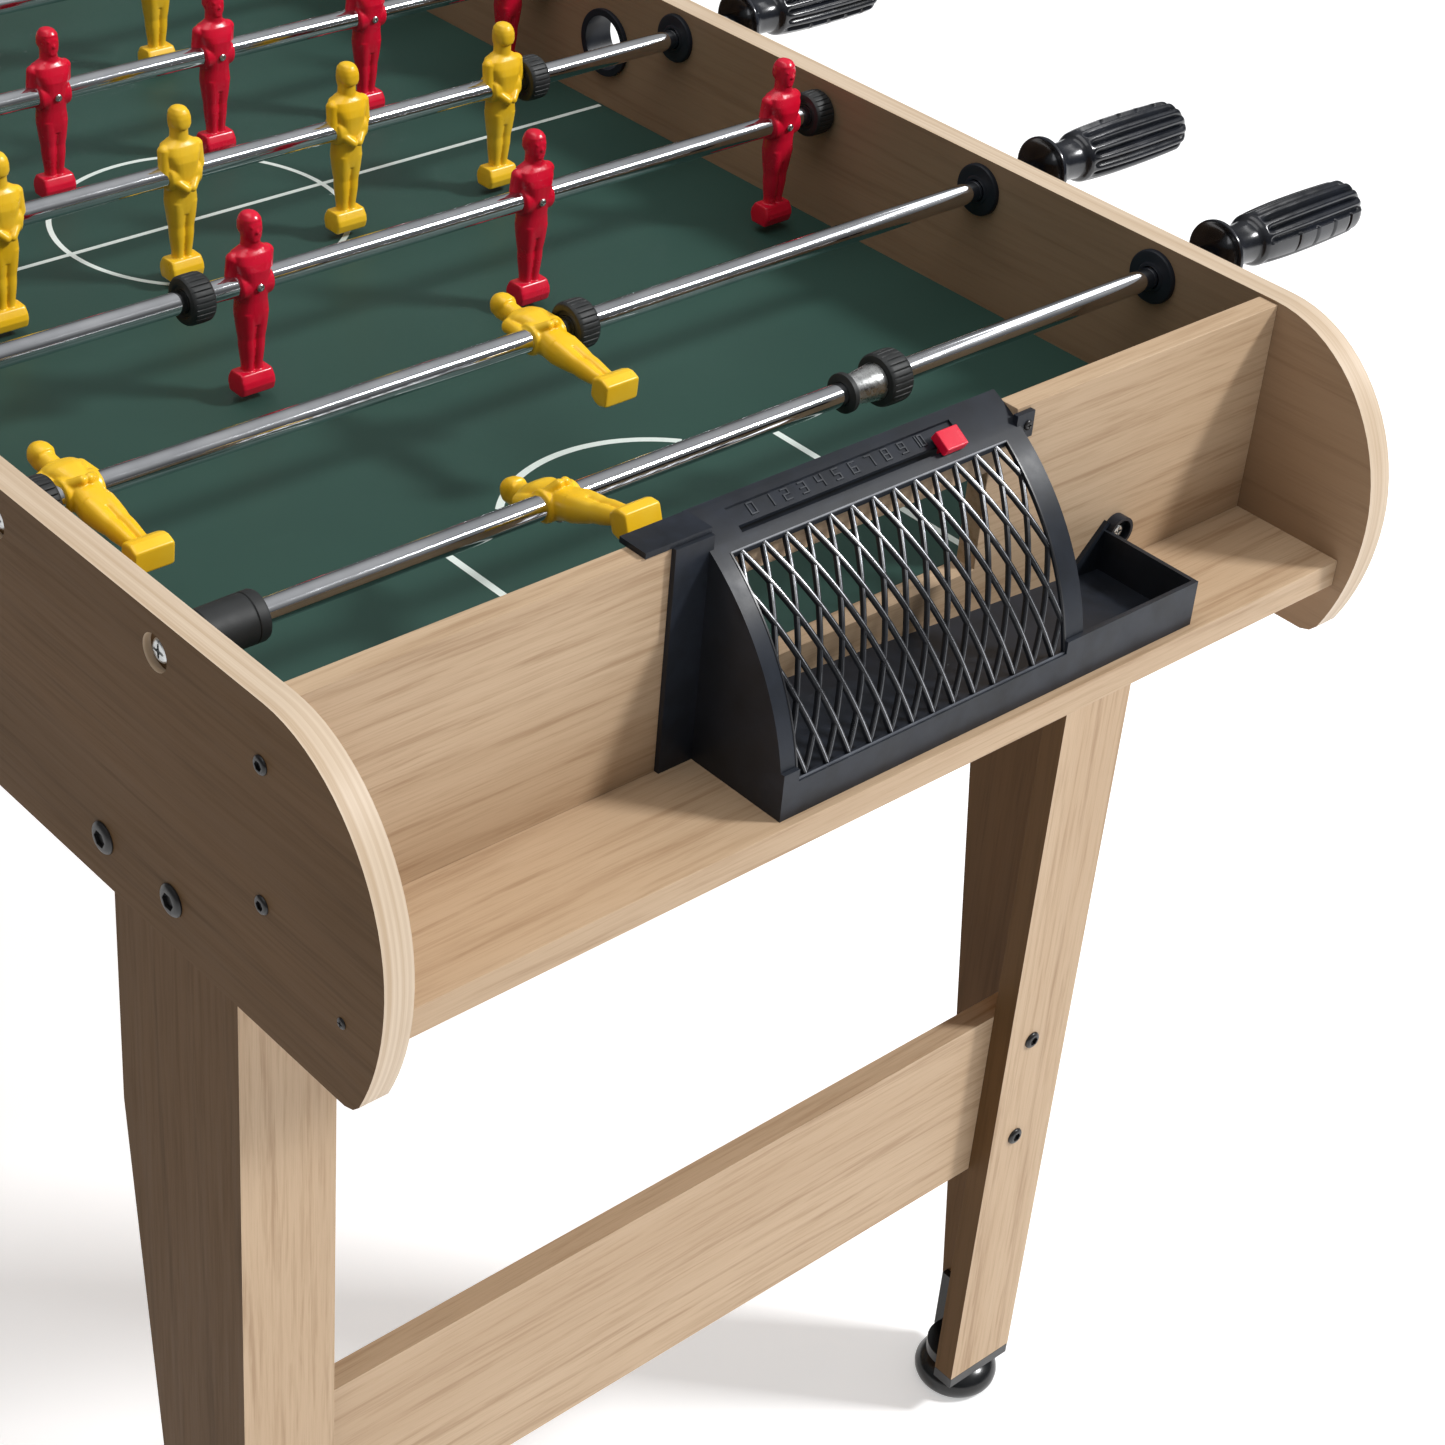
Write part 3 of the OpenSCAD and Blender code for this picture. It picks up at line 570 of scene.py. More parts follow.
# ---------------------------------------------------------------- players
# Cross-sections of the figure as (height, half width, half depth, squareness, forward) rows, in mm.
# The height counts from the rod's centre.
SHIRT = [
    (21.4, 4.8, 4.4, 2.2), (19.6, 7.4, 5.2, 2.3), (17.4, 10.8, 6.8, 2.6), (13.0, 11.2, 8.4, 2.8),
    (9.0, 9.8, 9.2, 2.9), (4.0, 8.5, 8.8, 2.9), (0.0, 8.0, 8.7, 2.8), (-5.0, 7.9, 8.0, 2.7),
    (-9.0, 8.3, 7.4, 2.6), (-14.0, 9.0, 7.2, 2.6), (-18.0, 9.1, 6.8, 2.6), (-22.5, 8.5, 6.0, 2.4),
]
NECK = [(14, 6.0, 5.4, 2.1), (19, 5.3, 5.0, 2.1), (25, 4.9, 5.2, 2.1), (28, 4.8, 5.4, 2.1)]
HEAD = [
    (22.6, 2.2, 2.4, 2.2, 1.6), (23.8, 3.8, 4.4, 2.3, 1.0), (26.4, 4.8, 5.8, 2.5, 0.5),
    (30.0, 5.3, 6.3, 2.5, 0.2), (33.6, 5.4, 6.3, 2.4, -0.1), (36.4, 4.7, 5.4, 2.3, -0.4),
    (38.2, 3.0, 3.6, 2.2, -0.6), (38.8, 1.2, 1.4, 2.0, -0.6),
]
HAIR = [
    (27.2, 4.4, 4.0, 2.3, -2.8), (29.4, 5.5, 4.8, 2.4, -2.3), (33.0, 5.8, 6.1, 2.4, -1.0),
    (35.6, 5.4, 6.1, 2.3, -0.3), (37.8, 4.0, 4.6, 2.2, -0.4), (38.7, 2.0, 2.4, 2.0, -0.5),
]
LEG = [
    (-15.5, 5.4, 6.9, 2.3), (-21, 5.2, 6.4, 2.2), (-27, 4.7, 5.6, 2.2), (-31, 4.2, 4.9, 2.1),
    (-36, 4.1, 5.0, 2.1), (-41, 3.7, 4.5, 2.1), (-46, 3.2, 3.9, 2.1), (-53, 3.1, 3.7, 2.1),
]
# From the middle to a leg's axis, and the degrees that a leg leans out.
LEG_APART = 4.1 * MM
LEG_SPLAY = 1.7
# Between the legs and thinner than they are, so that a groove shows.
WEB = [(-16, 3.0, 4.6, 2.4), (-30, 2.6, 2.8, 2.4), (-50, 2.0, 1.8, 2.4)]
# The foot block slopes in front and behind.
FOOT_BLOCK = [
    (-61.9, 10.0, 5.6, 12), (-61.2, 10.4, 6.2, 12), (-57.0, 10.4, 7.6, 12),
    (-54.0, 10.3, 7.2, 12), (-50.6, 9.9, 5.4, 12), (-49.8, 9.5, 4.8, 10),
]
# The boss that the rod goes through, as (along, radius) pairs in mm.
BOSS = [(-10.0, 6.6), (-9.7, 7.6), (-8.6, 8.2), (0, 8.2), (8.6, 8.2), (9.7, 7.6), (10.0, 6.6)]
CHEST_X = 8.7 * MM


def player_parts():
    """A figure as overlapping solids, front towards +X, with the rod's centre at the origin."""
    body = Shape()
    body.add(stack(SHIRT))
    body.add(turned(BOSS, 36))
    for rows in (NECK, HEAD, HAIR):
        body.add(stack(rows))
    # Brow, nose and chin.
    body.add(limb((5.4, -2.6, 32.4), (5.4, 2.6, 32.4), 0.9, 0.9, 10, 3))
    body.add(limb((5.9, 0, 31.6), (6.6, 0, 29.6), 0.6, 0.9, 10, 3))
    body.add(limb((4.8, -1.0, 25.0), (4.8, 1.0, 25.0), 1.5, 1.5, 12, 3))
    for s in (-1, 1):
        # Arm: shoulder to elbow, then the forearm to hands held behind the waist.
        body.add(limb((-0.8, s * 9.6, 13.8), (-2.2, s * 10.9, 2.6), 4.6, 3.3))
        body.add(limb((-2.2, s * 10.9, 2.4), (-9.6, s * 1.8, -5.8), 3.3, 2.4))
        splay = Matrix.Rotation(s * math.radians(-LEG_SPLAY), 4, "X")
        body.add(stack(LEG), 0, Matrix.Translation((0, s * LEG_APART, 0)) @ splay)
        # Collar of the shirt.
        body.add(limb((4.4, s * 4.8, 19.0), (8.6, s * 0.4, 8.8), 0.8, 0.8, 10, 3))
    body.add(stack(WEB))
    body.add(stack(FOOT_BLOCK))
    return body


def moulded(shape, voxel, smoothing, keep):
    """The shape's solids fused into one softened skin, as (points, faces)."""
    rough = bpy.data.objects.new("player_rough", shape.mesh("player_rough"))
    bpy.context.scene.collection.objects.link(rough)
    skin = rough.modifiers.new("skin", "REMESH")
    skin.mode = "VOXEL"
    skin.voxel_size = voxel
    soft = rough.modifiers.new("soft", "SMOOTH")
    soft.factor = 0.5
    soft.iterations = smoothing
    lean = rough.modifiers.new("lean", "DECIMATE")
    lean.ratio = keep
    bpy.context.view_layer.update()
    evaluated = rough.evaluated_get(bpy.context.evaluated_depsgraph_get())
    done = bpy.data.meshes.new_from_object(evaluated)
    bpy.data.objects.remove(rough)
    points = np.empty(len(done.vertices) * 3)
    done.vertices.foreach_get("co", points)
    return points.reshape(-1, 3), [tuple(p.vertices) for p in done.polygons]


def screw_slot(along, angle, r):
    """Turns the inner edge of the player's screw into a cross slot."""
    if r > 1.05 or r < 0.2:
        return r
    return r * (0.75 + 0.5 * abs(math.cos(2 * angle)) ** 4)


FIGURE = moulded(player_parts(), 0.5 * MM, 2, 0.3)
PLAYER_SCREW = turned([
    (-2.0, 0.9), (0.0, 0.9), (0.05, 2.2), (0.7, 2.1), (1.15, 1.6), (1.3, 1.0), (0.8, 0.7), (0.7, 0.1),
], 24, screw_slot)


def team(letter):
    """A rod's players, evenly spaced as in the CAD, and the screws that hold them to it."""
    lo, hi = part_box("men_" + letter)
    count = MEN_COUNT[letter]
    first, last = lo.y + ARM_REACH, hi.y - ARM_REACH
    yellow = letter in YELLOW_RODS
    tilt = Matrix.Rotation(math.radians(-LEAN.get(letter, 0.0)), 4, "Y")
    face = Matrix.Rotation(math.pi if yellow else 0, 4, "Z")
    to_front = Matrix.Translation((CHEST_X, 0, 0)) @ Matrix.Rotation(math.radians(-90), 4, "Z")
    men, screws = Shape(), Shape()
    for k in range(count):
        y = (first + last) / 2 if count == 1 else first + (last - first) * k / (count - 1)
        spot = Matrix.Translation((rod_x(letter), y, ROD_Z)) @ tilt @ face
        men.add(FIGURE, 0, spot)
        screws.add(PLAYER_SCREW, 0, spot @ to_front)
    look = yellow_mat if yellow else red_mat
    slot = "yellow_plastic" if yellow else "red_plastic"
    men.piece("players_" + letter, [look], "spin_" + letter, slot, 50, ["men_" + letter])
    screws.piece("player_screws_" + letter, [screw_mat], "spin_" + letter, "black_steel")


# ---------------------------------------------------------------- bumpers and handles
# Radius in mm of the hole of every ring, a little wider than the rod's tube.
BORE = 6.2
TREADS = 26


def rubber_ring(radius, start, end):
    """A tyre-like ring with a grooved tread, from start to end along the rod, in mm."""
    width = end - start

    def tread(along, angle, r):
        inside = min(along - start, end - along) / width
        if r < radius - 0.5 or inside < 0.2:
            return r
        return r - 0.75 * max(0.0, math.cos(TREADS * angle)) ** 6

    return turned([
        (start + 1.4, BORE), (start + 1.4, 8.0), (start + 0.2, 9.0), (start, radius - 2.4),
        (start + 0.5, radius - 1.0), (start + 1.6, radius - 0.2), (start + width * 0.21, radius),
        (start + width * 0.5, radius + 0.1), (start + width * 0.79, radius),
        (end - 1.6, radius - 0.2), (end - 0.5, radius - 1.0), (end, radius - 2.4),
        (end - 0.2, 9.0), (end - 1.4, 8.0), (end - 1.4, BORE),
    ], TREADS * 8, tread, True)


def sleeve(start, end, radius):
    """A long plain sleeve with rounded ends and two fine grooves."""
    return turned([
        (start, BORE), (start, radius - 1.6), (start + 0.6, radius - 0.5), (start + 1.8, radius),
        (start + 6, radius), (start + 6.5, radius - 0.35), (start + 7, radius),
        (end - 7, radius + 0.2), (end - 6.5, radius - 0.2), (end - 6, radius + 0.2),
        (end - 1.8, radius + 0.2), (end - 0.6, radius - 0.3), (end, radius - 1.4), (end, BORE),
    ], 72, None, True)


def on_rod(letter, node):
    """Length in mm of a node along its rod, and a move that puts a part there.

    The part starts at the node's end that is farther from the handle and goes towards the handle.
    For the handle itself that is its inner end.
    """
    lo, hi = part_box(node)
    s = side(letter)
    move = at(rod_x(letter), lo.y if s > 0 else hi.y, ROD_Z, 0 if s > 0 else 180)
    return (hi.y - lo.y) / MM, move


# Rings on a keeper's rod: a long sleeve, then a washer and a cone in front of the last ring.
SLEEVE_LENGTH, SLEEVE_R = 36, 11.6
KEEPER_RING_WIDTH, KEEPER_RING_R = 15, 13.8
WASHER = [(38, BORE), (38, 9.2), (37.4, 10.2), (34.8, 10.2), (34.2, 9.4), (34.2, BORE)]
CONE = [(34.1, BORE), (34.1, 7.2), (33.4, 7.5), (16.5, 9.5), (15.1, 9.7), (15.1, BORE)]
RING_R = 13.0


def bumpers(letter):
    """The rings that stop a rod's slide, one group at each end of its players."""
    node = "bumpers_" + letter
    length, move = on_rod(letter, node)
    rings = Shape()
    if MEN_COUNT[letter] == 1:
        rings.add(sleeve(0, SLEEVE_LENGTH, SLEEVE_R), 0, move)
        rings.add(rubber_ring(KEEPER_RING_R, length - KEEPER_RING_WIDTH, length), 0, move)
        # Their profiles count back from the end nearest the handle.
        for look, profile in enumerate((WASHER, CONE)):
            back = [(length - along, radius) for along, radius in profile]
            rings.add(turned(back, 56, None, True), look, move)
    else:
        wide = 14.0 if MEN_COUNT[letter] == 3 else 13.6
        rings.add(rubber_ring(RING_R, 0, wide), 0, move)
        rings.add(rubber_ring(RING_R, length - wide, length), 0, move)
    looks = [rubber_mat, screw_mat]
    rings.piece("bumper_rings_" + letter, looks, "slide_" + letter, "black_rubber", 34, [node])


RIBS = 14
RIBS_START = 30.0
RIB_DEPTH = 3.4
# Finger pads, two ribs wide, parted by cross cuts.
PAD_CUTS = [54.0, 69.0, 84.0, 99.0]
PADS_START = 45.0
PAD_HALF_ANGLE = 2 * math.pi / RIBS
# Degrees that each handle's row of pads is turned about its rod, as hands leave them.
PAD_TURN = {
    "a": -8.0, "b": 128.0, "c": 20.0, "d": -60.0, "e": 70.0, "f": 160.0, "g": -30.0, "h": 100.0,
}
# Flange and collar as (along, radius) pairs in mm.
HANDLE_NECK = [
    (4.6, 6.4), (4.2, 10.0), (2.2, 14.4), (0.6, 16.4), (0.0, 17.3), (0.3, 18.0), (1.2, 18.3),
    (2.6, 18.1), (4.0, 16.6), (5.6, 14.0), (7.6, 12.4), (10.0, 11.6), (13.0, 11.3), (18.0, 11.2),
    (23.0, 11.4), (24.4, 11.7), (25.0, 11.2), (25.8, 11.5), (26.8, 12.8), (28.2, 14.0), (29.4, 14.5),
]
HANDLE_STEPS = 92
# The grip is fullest at this share of its length, and its tip is rounded over so many mm.
FULLEST = 0.39
TIP = 10.5


def grip_profile(length):
    """The handle's (along, radius) pairs in mm, before its ribs are cut."""
    profile = list(HANDLE_NECK)
    for k in range(HANDLE_STEPS + 1):
        along = RIBS_START + (length - RIBS_START) * (1 - (1 - k / HANDLE_STEPS) ** 1.25)
        u = (along - RIBS_START) / (length - RIBS_START)
        if u > FULLEST:
            r = 15.9 - 1.4 * ((u - FULLEST) / (1 - FULLEST)) ** 2.2
        else:
            r = 14.6 + 1.3 * math.sin(math.pi * u * 1.28) ** 0.8
        left = length - along
        if left < TIP:
            r *= math.sqrt(max(0.0, 1 - ((TIP - left) / TIP) ** 2.3))
        profile.append((min(along, length - 0.02), max(r, 0.15)))
    return profile


def grip(letter):
    """Handle: flange, collar and a ribbed grip with a row of finger pads down one side."""
    node = "grip_" + letter
    length, move = on_rod(letter, node)

    def ribs(along, angle, r):
        if along < RIBS_START or r < 2:
            return r
        grow = min(1.0, (along - RIBS_START) / 5, (length - 2.5 - along) / 8)
        if grow <= 0:
            return r
        phi = (angle + math.pi) % (2 * math.pi) - math.pi
        if abs(phi) < PAD_HALF_ANGLE * 1.0001:
            edge = max(0.0, 1 - (PAD_HALF_ANGLE - abs(phi)) / 0.10)
            cut = max(max(0.0, 1 - abs(along - p) / 0.9) for p in PAD_CUTS)
            if along < PADS_START:
                cut = 0.0
            return r + 0.25 * grow - grow * max(2.6 * edge ** 0.7, 1.7 * cut ** 0.6)
        return r - RIB_DEPTH * grow * (1 - abs(math.sin(RIBS / 2 * phi)) ** 0.9)

    turn = Matrix.Rotation(math.radians(-PAD_TURN[letter] * side(letter)), 4, "Y")
    handle = Shape().add(turned(grip_profile(length), RIBS * 12, ribs), 0, move @ turn)
    handle.piece("handle_" + letter, [handle_mat], "spin_" + letter, "handle_plastic", 42, [node])


for letter in RODS:
    team(letter)
    bumpers(letter)
    grip(letter)


# ---------------------------------------------------------------- bushings
def bushing():
    """Flanged bushing through a panel: along 0 is the panel's inner face."""
    thick = (OUTER_Y - INNER_Y) / MM
    return turned([
        (-3.3, 6.4), (-3.45, 7.2), (-3.3, 8.0), (-2.9, 8.5), (-3.0, 13.2), (-2.7, 14.3),
        (-2.0, 14.9), (-1.0, 15.0), (0.0, 15.0), (0.0, 8.95), (thick, 8.95), (thick, 13.0),
        (thick + 1.6, 13.0), (thick + 2.7, 12.3), (thick + 3.0, 11.2), (thick + 2.2, 8.6),
        (thick + 2.9, 7.4), (thick + 2.9, 6.4),
    ], 64, None, True)


bushings = Shape()
for letter in RODS:
    s = side(letter)
    bushings.add(bushing(), 0, at(rod_x(letter), s * INNER_Y, ROD_Z, 0 if s > 0 else 180))
bushings.piece("rod_bushings", [black_mat], "cabinet", "black_plastic", 34, ["bushings"])


# ---------------------------------------------------------------- goal grille
# The goal box's arch, its window and the lattice in it, in mm and radians, on the right end.
ARCH_X = 458.5
ARCH_R = 134.6
WINDOW_Y = (-78.5, 97.0)
WINDOW_ANGLE = (math.radians(35.7), math.radians(81.9))
CELLS = 13
CELL = (WINDOW_Y[1] - WINDOW_Y[0]) / CELLS
# Cells that a strand moves sideways on its way down, and how far it leans for that.
CROSSED = 3
STRAND_LEAN = math.atan(CROSSED * CELL / (ARCH_R * (WINDOW_ANGLE[1] - WINDOW_ANGLE[0])))
STRAND_STEPS = 44
BEAD_STEPS = 32


def on_arch(y, angle, radius):
    """A point round the arch's axis, from mm to metres. Angle 0 is straight up."""
    x = ARCH_X + radius * math.sin(angle)
    return Vector((x * MM, y * MM, SHELF_Z + radius * math.cos(angle) * MM))


def on_skin(y, angle):
    """A point of the arch's skin, and the unit directions out of it and down along it."""
    mid = on_arch(y, angle, ARCH_R)
    out = (on_arch(y, angle, ARCH_R + 1) - mid).normalized()
    down = (on_arch(y, angle + 0.01, ARCH_R) - mid).normalized()
    return mid, out, down


def section(mid, across, out, outline):
    """A ring of points round mid from (across, out) pairs in mm."""
    return [tuple(mid + across * MM * w + out * MM * h) for w, h in outline]


def window_angle(t):
    """The angle at a share t of the way down the window."""
    return WINDOW_ANGLE[0] + (WINDOW_ANGLE[1] - WINDOW_ANGLE[0]) * t


def strand(first, slope, outline):
    """One strand down the window from y = first, cut where it leaves the window at a side."""
    rings = []
    for k in range(STRAND_STEPS + 1):
        t = k / STRAND_STEPS
        y = first + slope * CROSSED * CELL * t
        if not WINDOW_Y[0] - 0.5 <= y <= WINDOW_Y[1] + 0.5:
            continue
        mid, out, down = on_skin(y, window_angle(t))
        sideways = Vector((0, slope, 0)) * math.sin(STRAND_LEAN)
        ahead = (down * math.cos(STRAND_LEAN) + sideways).normalized()
        rings.append(section(mid, ahead.cross(out), out, outline))
    return loft(rings) if len(rings) > 2 else None


def rounded(half, low, high):
    """Outline of a strand with a rounded back, from heights low to high over the skin."""
    middle = (low + high) / 2
    return [
        (half, low), (half * 0.97, middle), (half * 0.62, high - 0.15), (0, high),
        (-half * 0.62, high - 0.15), (-half * 0.97, middle), (-half, low),
    ]


def ridge(half, low, high):
    """Outline of a narrow raised line."""
    return [(half, low), (half * 0.6, high), (-half * 0.6, high), (-half, low)]


# Slope, outline and material number: each strand is black with a painted highlight along its back, a
# pale line that stands for the glint on its glossy crest, dimmer on the second family.
STRANDS = (
    (1, rounded(1.5, -2.8, -0.7), 0), (1, ridge(0.26, -0.9, -0.5), 1),
    (-1, rounded(1.35, -3.2, -1.2), 0), (-1, ridge(0.17, -1.4, -1.05), 2),
)


def grille(node, turn):
    """The lattice of crossing strands and the bead round the window, with painted highlights: pale
    lines along the strands' backs and a paler bead along the window's top and bottom.
    """
    shape = Shape()
    for k in range(-CROSSED - 1, CELLS + CROSSED + 2):
        for slope, outline, look in STRANDS:
            made = strand(WINDOW_Y[0] + (k + 0.5) * CELL, slope, outline)
            if made:
                shape.add(made, look, turn)
    for y in WINDOW_Y:
        rings = []
        for k in range(BEAD_STEPS + 1):
            mid, out, down = on_skin(y, window_angle(k / BEAD_STEPS))
            rings.append(section(mid, Vector((0, 1, 0)), out, ridge(0.7, -0.4, 0.35)))
        shape.add(loft(rings), 0, turn)
    # The window's top and bottom edges get the paler bead material as a painted highlight.
    for angle in WINDOW_ANGLE:
        rings = []
        for y in WINDOW_Y:
            mid, out, down = on_skin(y, angle)
            rings.append(section(mid, down, out, ridge(0.6, -0.4, 0.3)))
        shape.add(loft(rings), 3, turn)
    looks = [strand_mat, painted_highlight_mat, painted_highlight_dim_mat, rim_painted_highlight_mat]
    shape.piece(node + "_strands", looks, "cabinet", "black_plastic", 40, [node])


RIGHT_END = Matrix.Identity(4)
LEFT_END = Matrix.Rotation(math.pi, 4, "Z")
grille("right_goal_grille", RIGHT_END)
grille("left_goal_grille", LEFT_END)


# ---------------------------------------------------------------- bolts and screws
def hex_head(radius, high):
    """A domed head with a hexagon socket; along 0 is the surface it sits on."""
    socket = radius * 0.52

    def six(along, angle, r):
        if r > socket * 1.02 or r < 0.2:
            return r
        return r * math.cos(math.pi / 6) / math.cos((angle % (math.pi / 3)) - math.pi / 6) * 1.06

    return turned([
        (-0.6, radius * 0.8), (0.0, radius), (high * 0.3, radius), (high * 0.62, radius * 0.93),
        (high * 0.9, radius * 0.76), (high, radius * 0.62), (high * 0.97, socket),
        (high * 0.25, socket * 0.94), (high * 0.2, 0.15),
    ], 48, six)


def cross_head(radius, high):
    """A pan head with a cross slot; along 0 is the surface it sits on."""

    def cross(along, angle, r):
        if r > radius * 0.6 or r < 0.2:
            return r
        return r * (0.42 + 0.85 * abs(math.cos(2 * angle)) ** 5)

    return turned([
        (-0.5, radius * 0.8), (0.0, radius), (high * 0.45, radius * 0.97),
        (high * 0.8, radius * 0.82), (high, radius * 0.62), (high * 0.98, radius * 0.55),
        (high * 0.3, radius * 0.5), (high * 0.25, 0.15),
    ], 64, cross)


def facing(x, y, z, nx, ny):
    """Puts a part that stands on +Y at a point in mm, facing (nx, ny)."""
    turn = math.degrees(math.atan2(-nx, ny))
    return at(x * MM, y * MM, z * MM, turn)


# Places of the screws in mm, on the right end and the far side. The rest are their mirror images,
# except those of the goal ends, which are turned half round.
LEG_BOLT_X = (402, 457)
LEG_BOLT_Z = panel_lo.z / MM + 26.0
END_SCREW_X = 526
END_SCREW_Z = (797, 726)
SHELF_SCREW_X, SHELF_SCREW_Z = 582, 701
RAIL_BOLT_Y = 271
RAIL_BOLT_Z = (237, 316)
TRAY_SCREW = (532.5, 199.3, SHELF_Z / MM + 22.4)
GOAL_SCREW = (533.5, 115.5, 817.5)
# Depth of the hole that the head of an inner rod's screw sits in.
COUNTERBORE = 4

leg_bolt = hex_head(8.0, 2.4)
end_screw = hex_head(4.5, 1.6)
rail_bolt = hex_head(5.6, 2.2)
outer = OUTER_Y / MM
screws = Shape()
for s in (-1, 1):
    for x in LEG_BOLT_X:
        for e in (-1, 1):
            screws.add(leg_bolt, 0, facing(e * x, s * outer, LEG_BOLT_Z, 0, s))
    for e in (-1, 1):
        for z in END_SCREW_Z:
            screws.add(end_screw, 0, facing(e * END_SCREW_X, s * outer, z, 0, s))
        place = facing(e * SHELF_SCREW_X, s * outer, SHELF_SCREW_Z, 0, s)
        screws.add(cross_head(2.7, 1.0), 0, place)
        for z in RAIL_BOLT_Z:
            screws.add(rail_bolt, 0, facing(e * LEG_FACE_X / MM, s * RAIL_BOLT_Y, z, e, 0))
for e in (-1, 1):
    x, y, z = TRAY_SCREW
    screws.add(cross_head(4.0, 2.0), 1, facing(e * x, e * y, z, e, 0))
    x, y, z = GOAL_SCREW
    screws.add(cross_head(2.6, 1.2), 0, facing(e * x, e * y, z, e, 0))
for letter in RODS:
    s = -side(letter)
    place = facing(rod_x(letter) / MM, s * (outer - COUNTERBORE), ROD_Z / MM, 0, s)
    screws.add(cross_head(6.0, 2.4), 1, place)
screws.piece("screw_heads", [bolt_mat, screw_mat], "cabinet", "black_steel", 32, ["fasteners"])


# ---------------------------------------------------------------- feet
# Domed pad and plain stem, as (height, radius) pairs in mm.
FOOT = [
    (0.0, 0.2), (0.0, 20.5), (0.5, 22.2), (1.6, 24.2), (3.6, 25.9), (6.2, 27.0), (9.2, 27.4),
    (12.2, 27.0), (15.2, 25.6), (18.0, 23.0), (20.4, 19.4), (21.9, 15.6), (22.6, 11.0),
    (22.85, 6.0), (22.9, 3.9), (47.9, 3.8), (47.9, 0.2),
]


def foot(name):
    """A levelling foot: the pad under a leg's cap, and its stem up into the leg."""
    node = "foot_" + name
    lo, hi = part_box(node)
    spot = Matrix.Translation(((lo.x + hi.x) / 2, (lo.y + hi.y) / 2, 0))
    made = Shape().add(turned(FOOT, 72), 0, spot @ Matrix.Rotation(math.pi / 2, 4, "X"))
    made.piece("levelling_" + node, [foot_mat], node, "foot_plastic", 36, [node])


for name in ("right_far", "right_near", "left_far", "left_near"):
    foot(name)


# ---------------------------------------------------------------- score rails
# Segments of a digit on a 2 by 3 grid of corners, numbered from the top left, row by row.
DIGITS = {
    0: "01 13 35 54 42 20", 1: "13 35", 2: "01 13 32 24 45", 3: "01 13 35 54 32",
    4: "02 23 13 35", 5: "10 02 23 35 54", 6: "10 02 24 45 53 32", 7: "01 13 35",
    8: "01 13 35 54 42 20 23", 9: "32 20 01 13 35 54",
}
HIGHEST_SCORE = 10
# In mm: a digit's width and height, and half the width of its strokes.
DIGIT_WIDE, DIGIT_HIGH, STROKE = 3.4, 5.6, 0.42
# The digits of a two-digit number are narrower by this factor.
DIGIT_NARROW = 0.7
# In mm: from number to number, where along the rail 0 stands, and between a number's digits.
DIGIT_PITCH, DIGIT_START, DIGIT_GAP = 10.5, -54.0, 1.5
# Radius in mm of the recess in the rail that the numbers stand in, and the angle where it starts.
RECESS_R = 133.4
RECESS_TOP = math.asin((520.4 - ARCH_X) / RECESS_R)
# Two corners of the slot's liner, in mm.
SLOT_LINER = ((519.4, -84, 815.9), (530.2, 106, 816.4))


def bar(start, end, half, low, high):
    """A raised stroke with sloping sides between two (down, along) points in mm, in the recess."""
    a, b = Vector(start), Vector(end)
    ahead = (b - a).normalized() * half
    left = Vector((-ahead.y, ahead.x))
    rings = []
    for height, grow in ((low, 1.25), (high, 0.8)):
        corners = (
            a - (ahead + left) * grow, b + (ahead - left) * grow,
            b + (ahead + left) * grow, a + (left - ahead) * grow,
        )
        radius = RECESS_R + height
        rings.append([tuple(on_arch(c.y, RECESS_TOP + c.x / RECESS_R, radius)) for c in corners])
    return loft(rings)


def score_rail(name, turn):
    """Raised generic numbers from 0, and a dark liner under the slider's slot."""
    rail = Shape()
    for number in range(HIGHEST_SCORE + 1):
        digits = [int(c) for c in str(number)]
        wide = DIGIT_WIDE if len(digits) == 1 else DIGIT_WIDE * DIGIT_NARROW
        for n, digit in enumerate(digits):
            from_middle = (n - (len(digits) - 1) / 2) * (wide + DIGIT_GAP)
            centre = DIGIT_START + DIGIT_PITCH * number + from_middle
            for pair in DIGITS[digit].split():
                ends = []
                for corner in pair:
                    row, column = divmod(int(corner), 2)
                    ends.append((DIGIT_HIGH * row / 2, centre + wide * (column - 0.5)))
                rail.add(bar(ends[0], ends[1], STROKE, -0.1, 0.5), 0, turn)
    rail.piece(name + "_score_numbers", [score_mat], "cabinet", "black_plastic", 30)
    liner = Shape().add(block(*SLOT_LINER, 0.15), 0, turn)
    liner.piece(name + "_slot_liner", [black_mat], "cabinet", "black_plastic", 30)


score_rail("right", RIGHT_END)
score_rail("left", LEFT_END)


# ---------------------------------------------------------------- floor, light and camera
FLOOR_HALF = 14
FLOOR_THICK = 0.02
WHITE = (1.0, 1.0, 1.0, 1.0)


def studio_floor():
    """A wide pale floor that glows a little, so that it stays white under soft light."""
    look = Look("studio_floor", Roughness=0.7, Emission_Color=WHITE, Emission_Strength=0.42)
    drift = look.ramp(look.noise(look.coords(), 0.6, 3), 0.3, 0.7)
    look.colour(look.mix(drift, srgb(247, 247, 247), srgb(243, 243, 244)))
    size = FLOOR_HALF
    corners = ((-size, -FLOOR_THICK), (size, -FLOOR_THICK), (size, 0), (-size, 0))
    slab = Shape().add(loft([[(x, y, z) for y, z in corners] for x in (-size, size)]))
    mesh = slab.mesh("studio_floor")
    mesh.materials.append(look.mat)
    floor = bpy.data.objects.new("studio_floor", mesh)
    bpy.context.scene.collection.objects.link(floor)


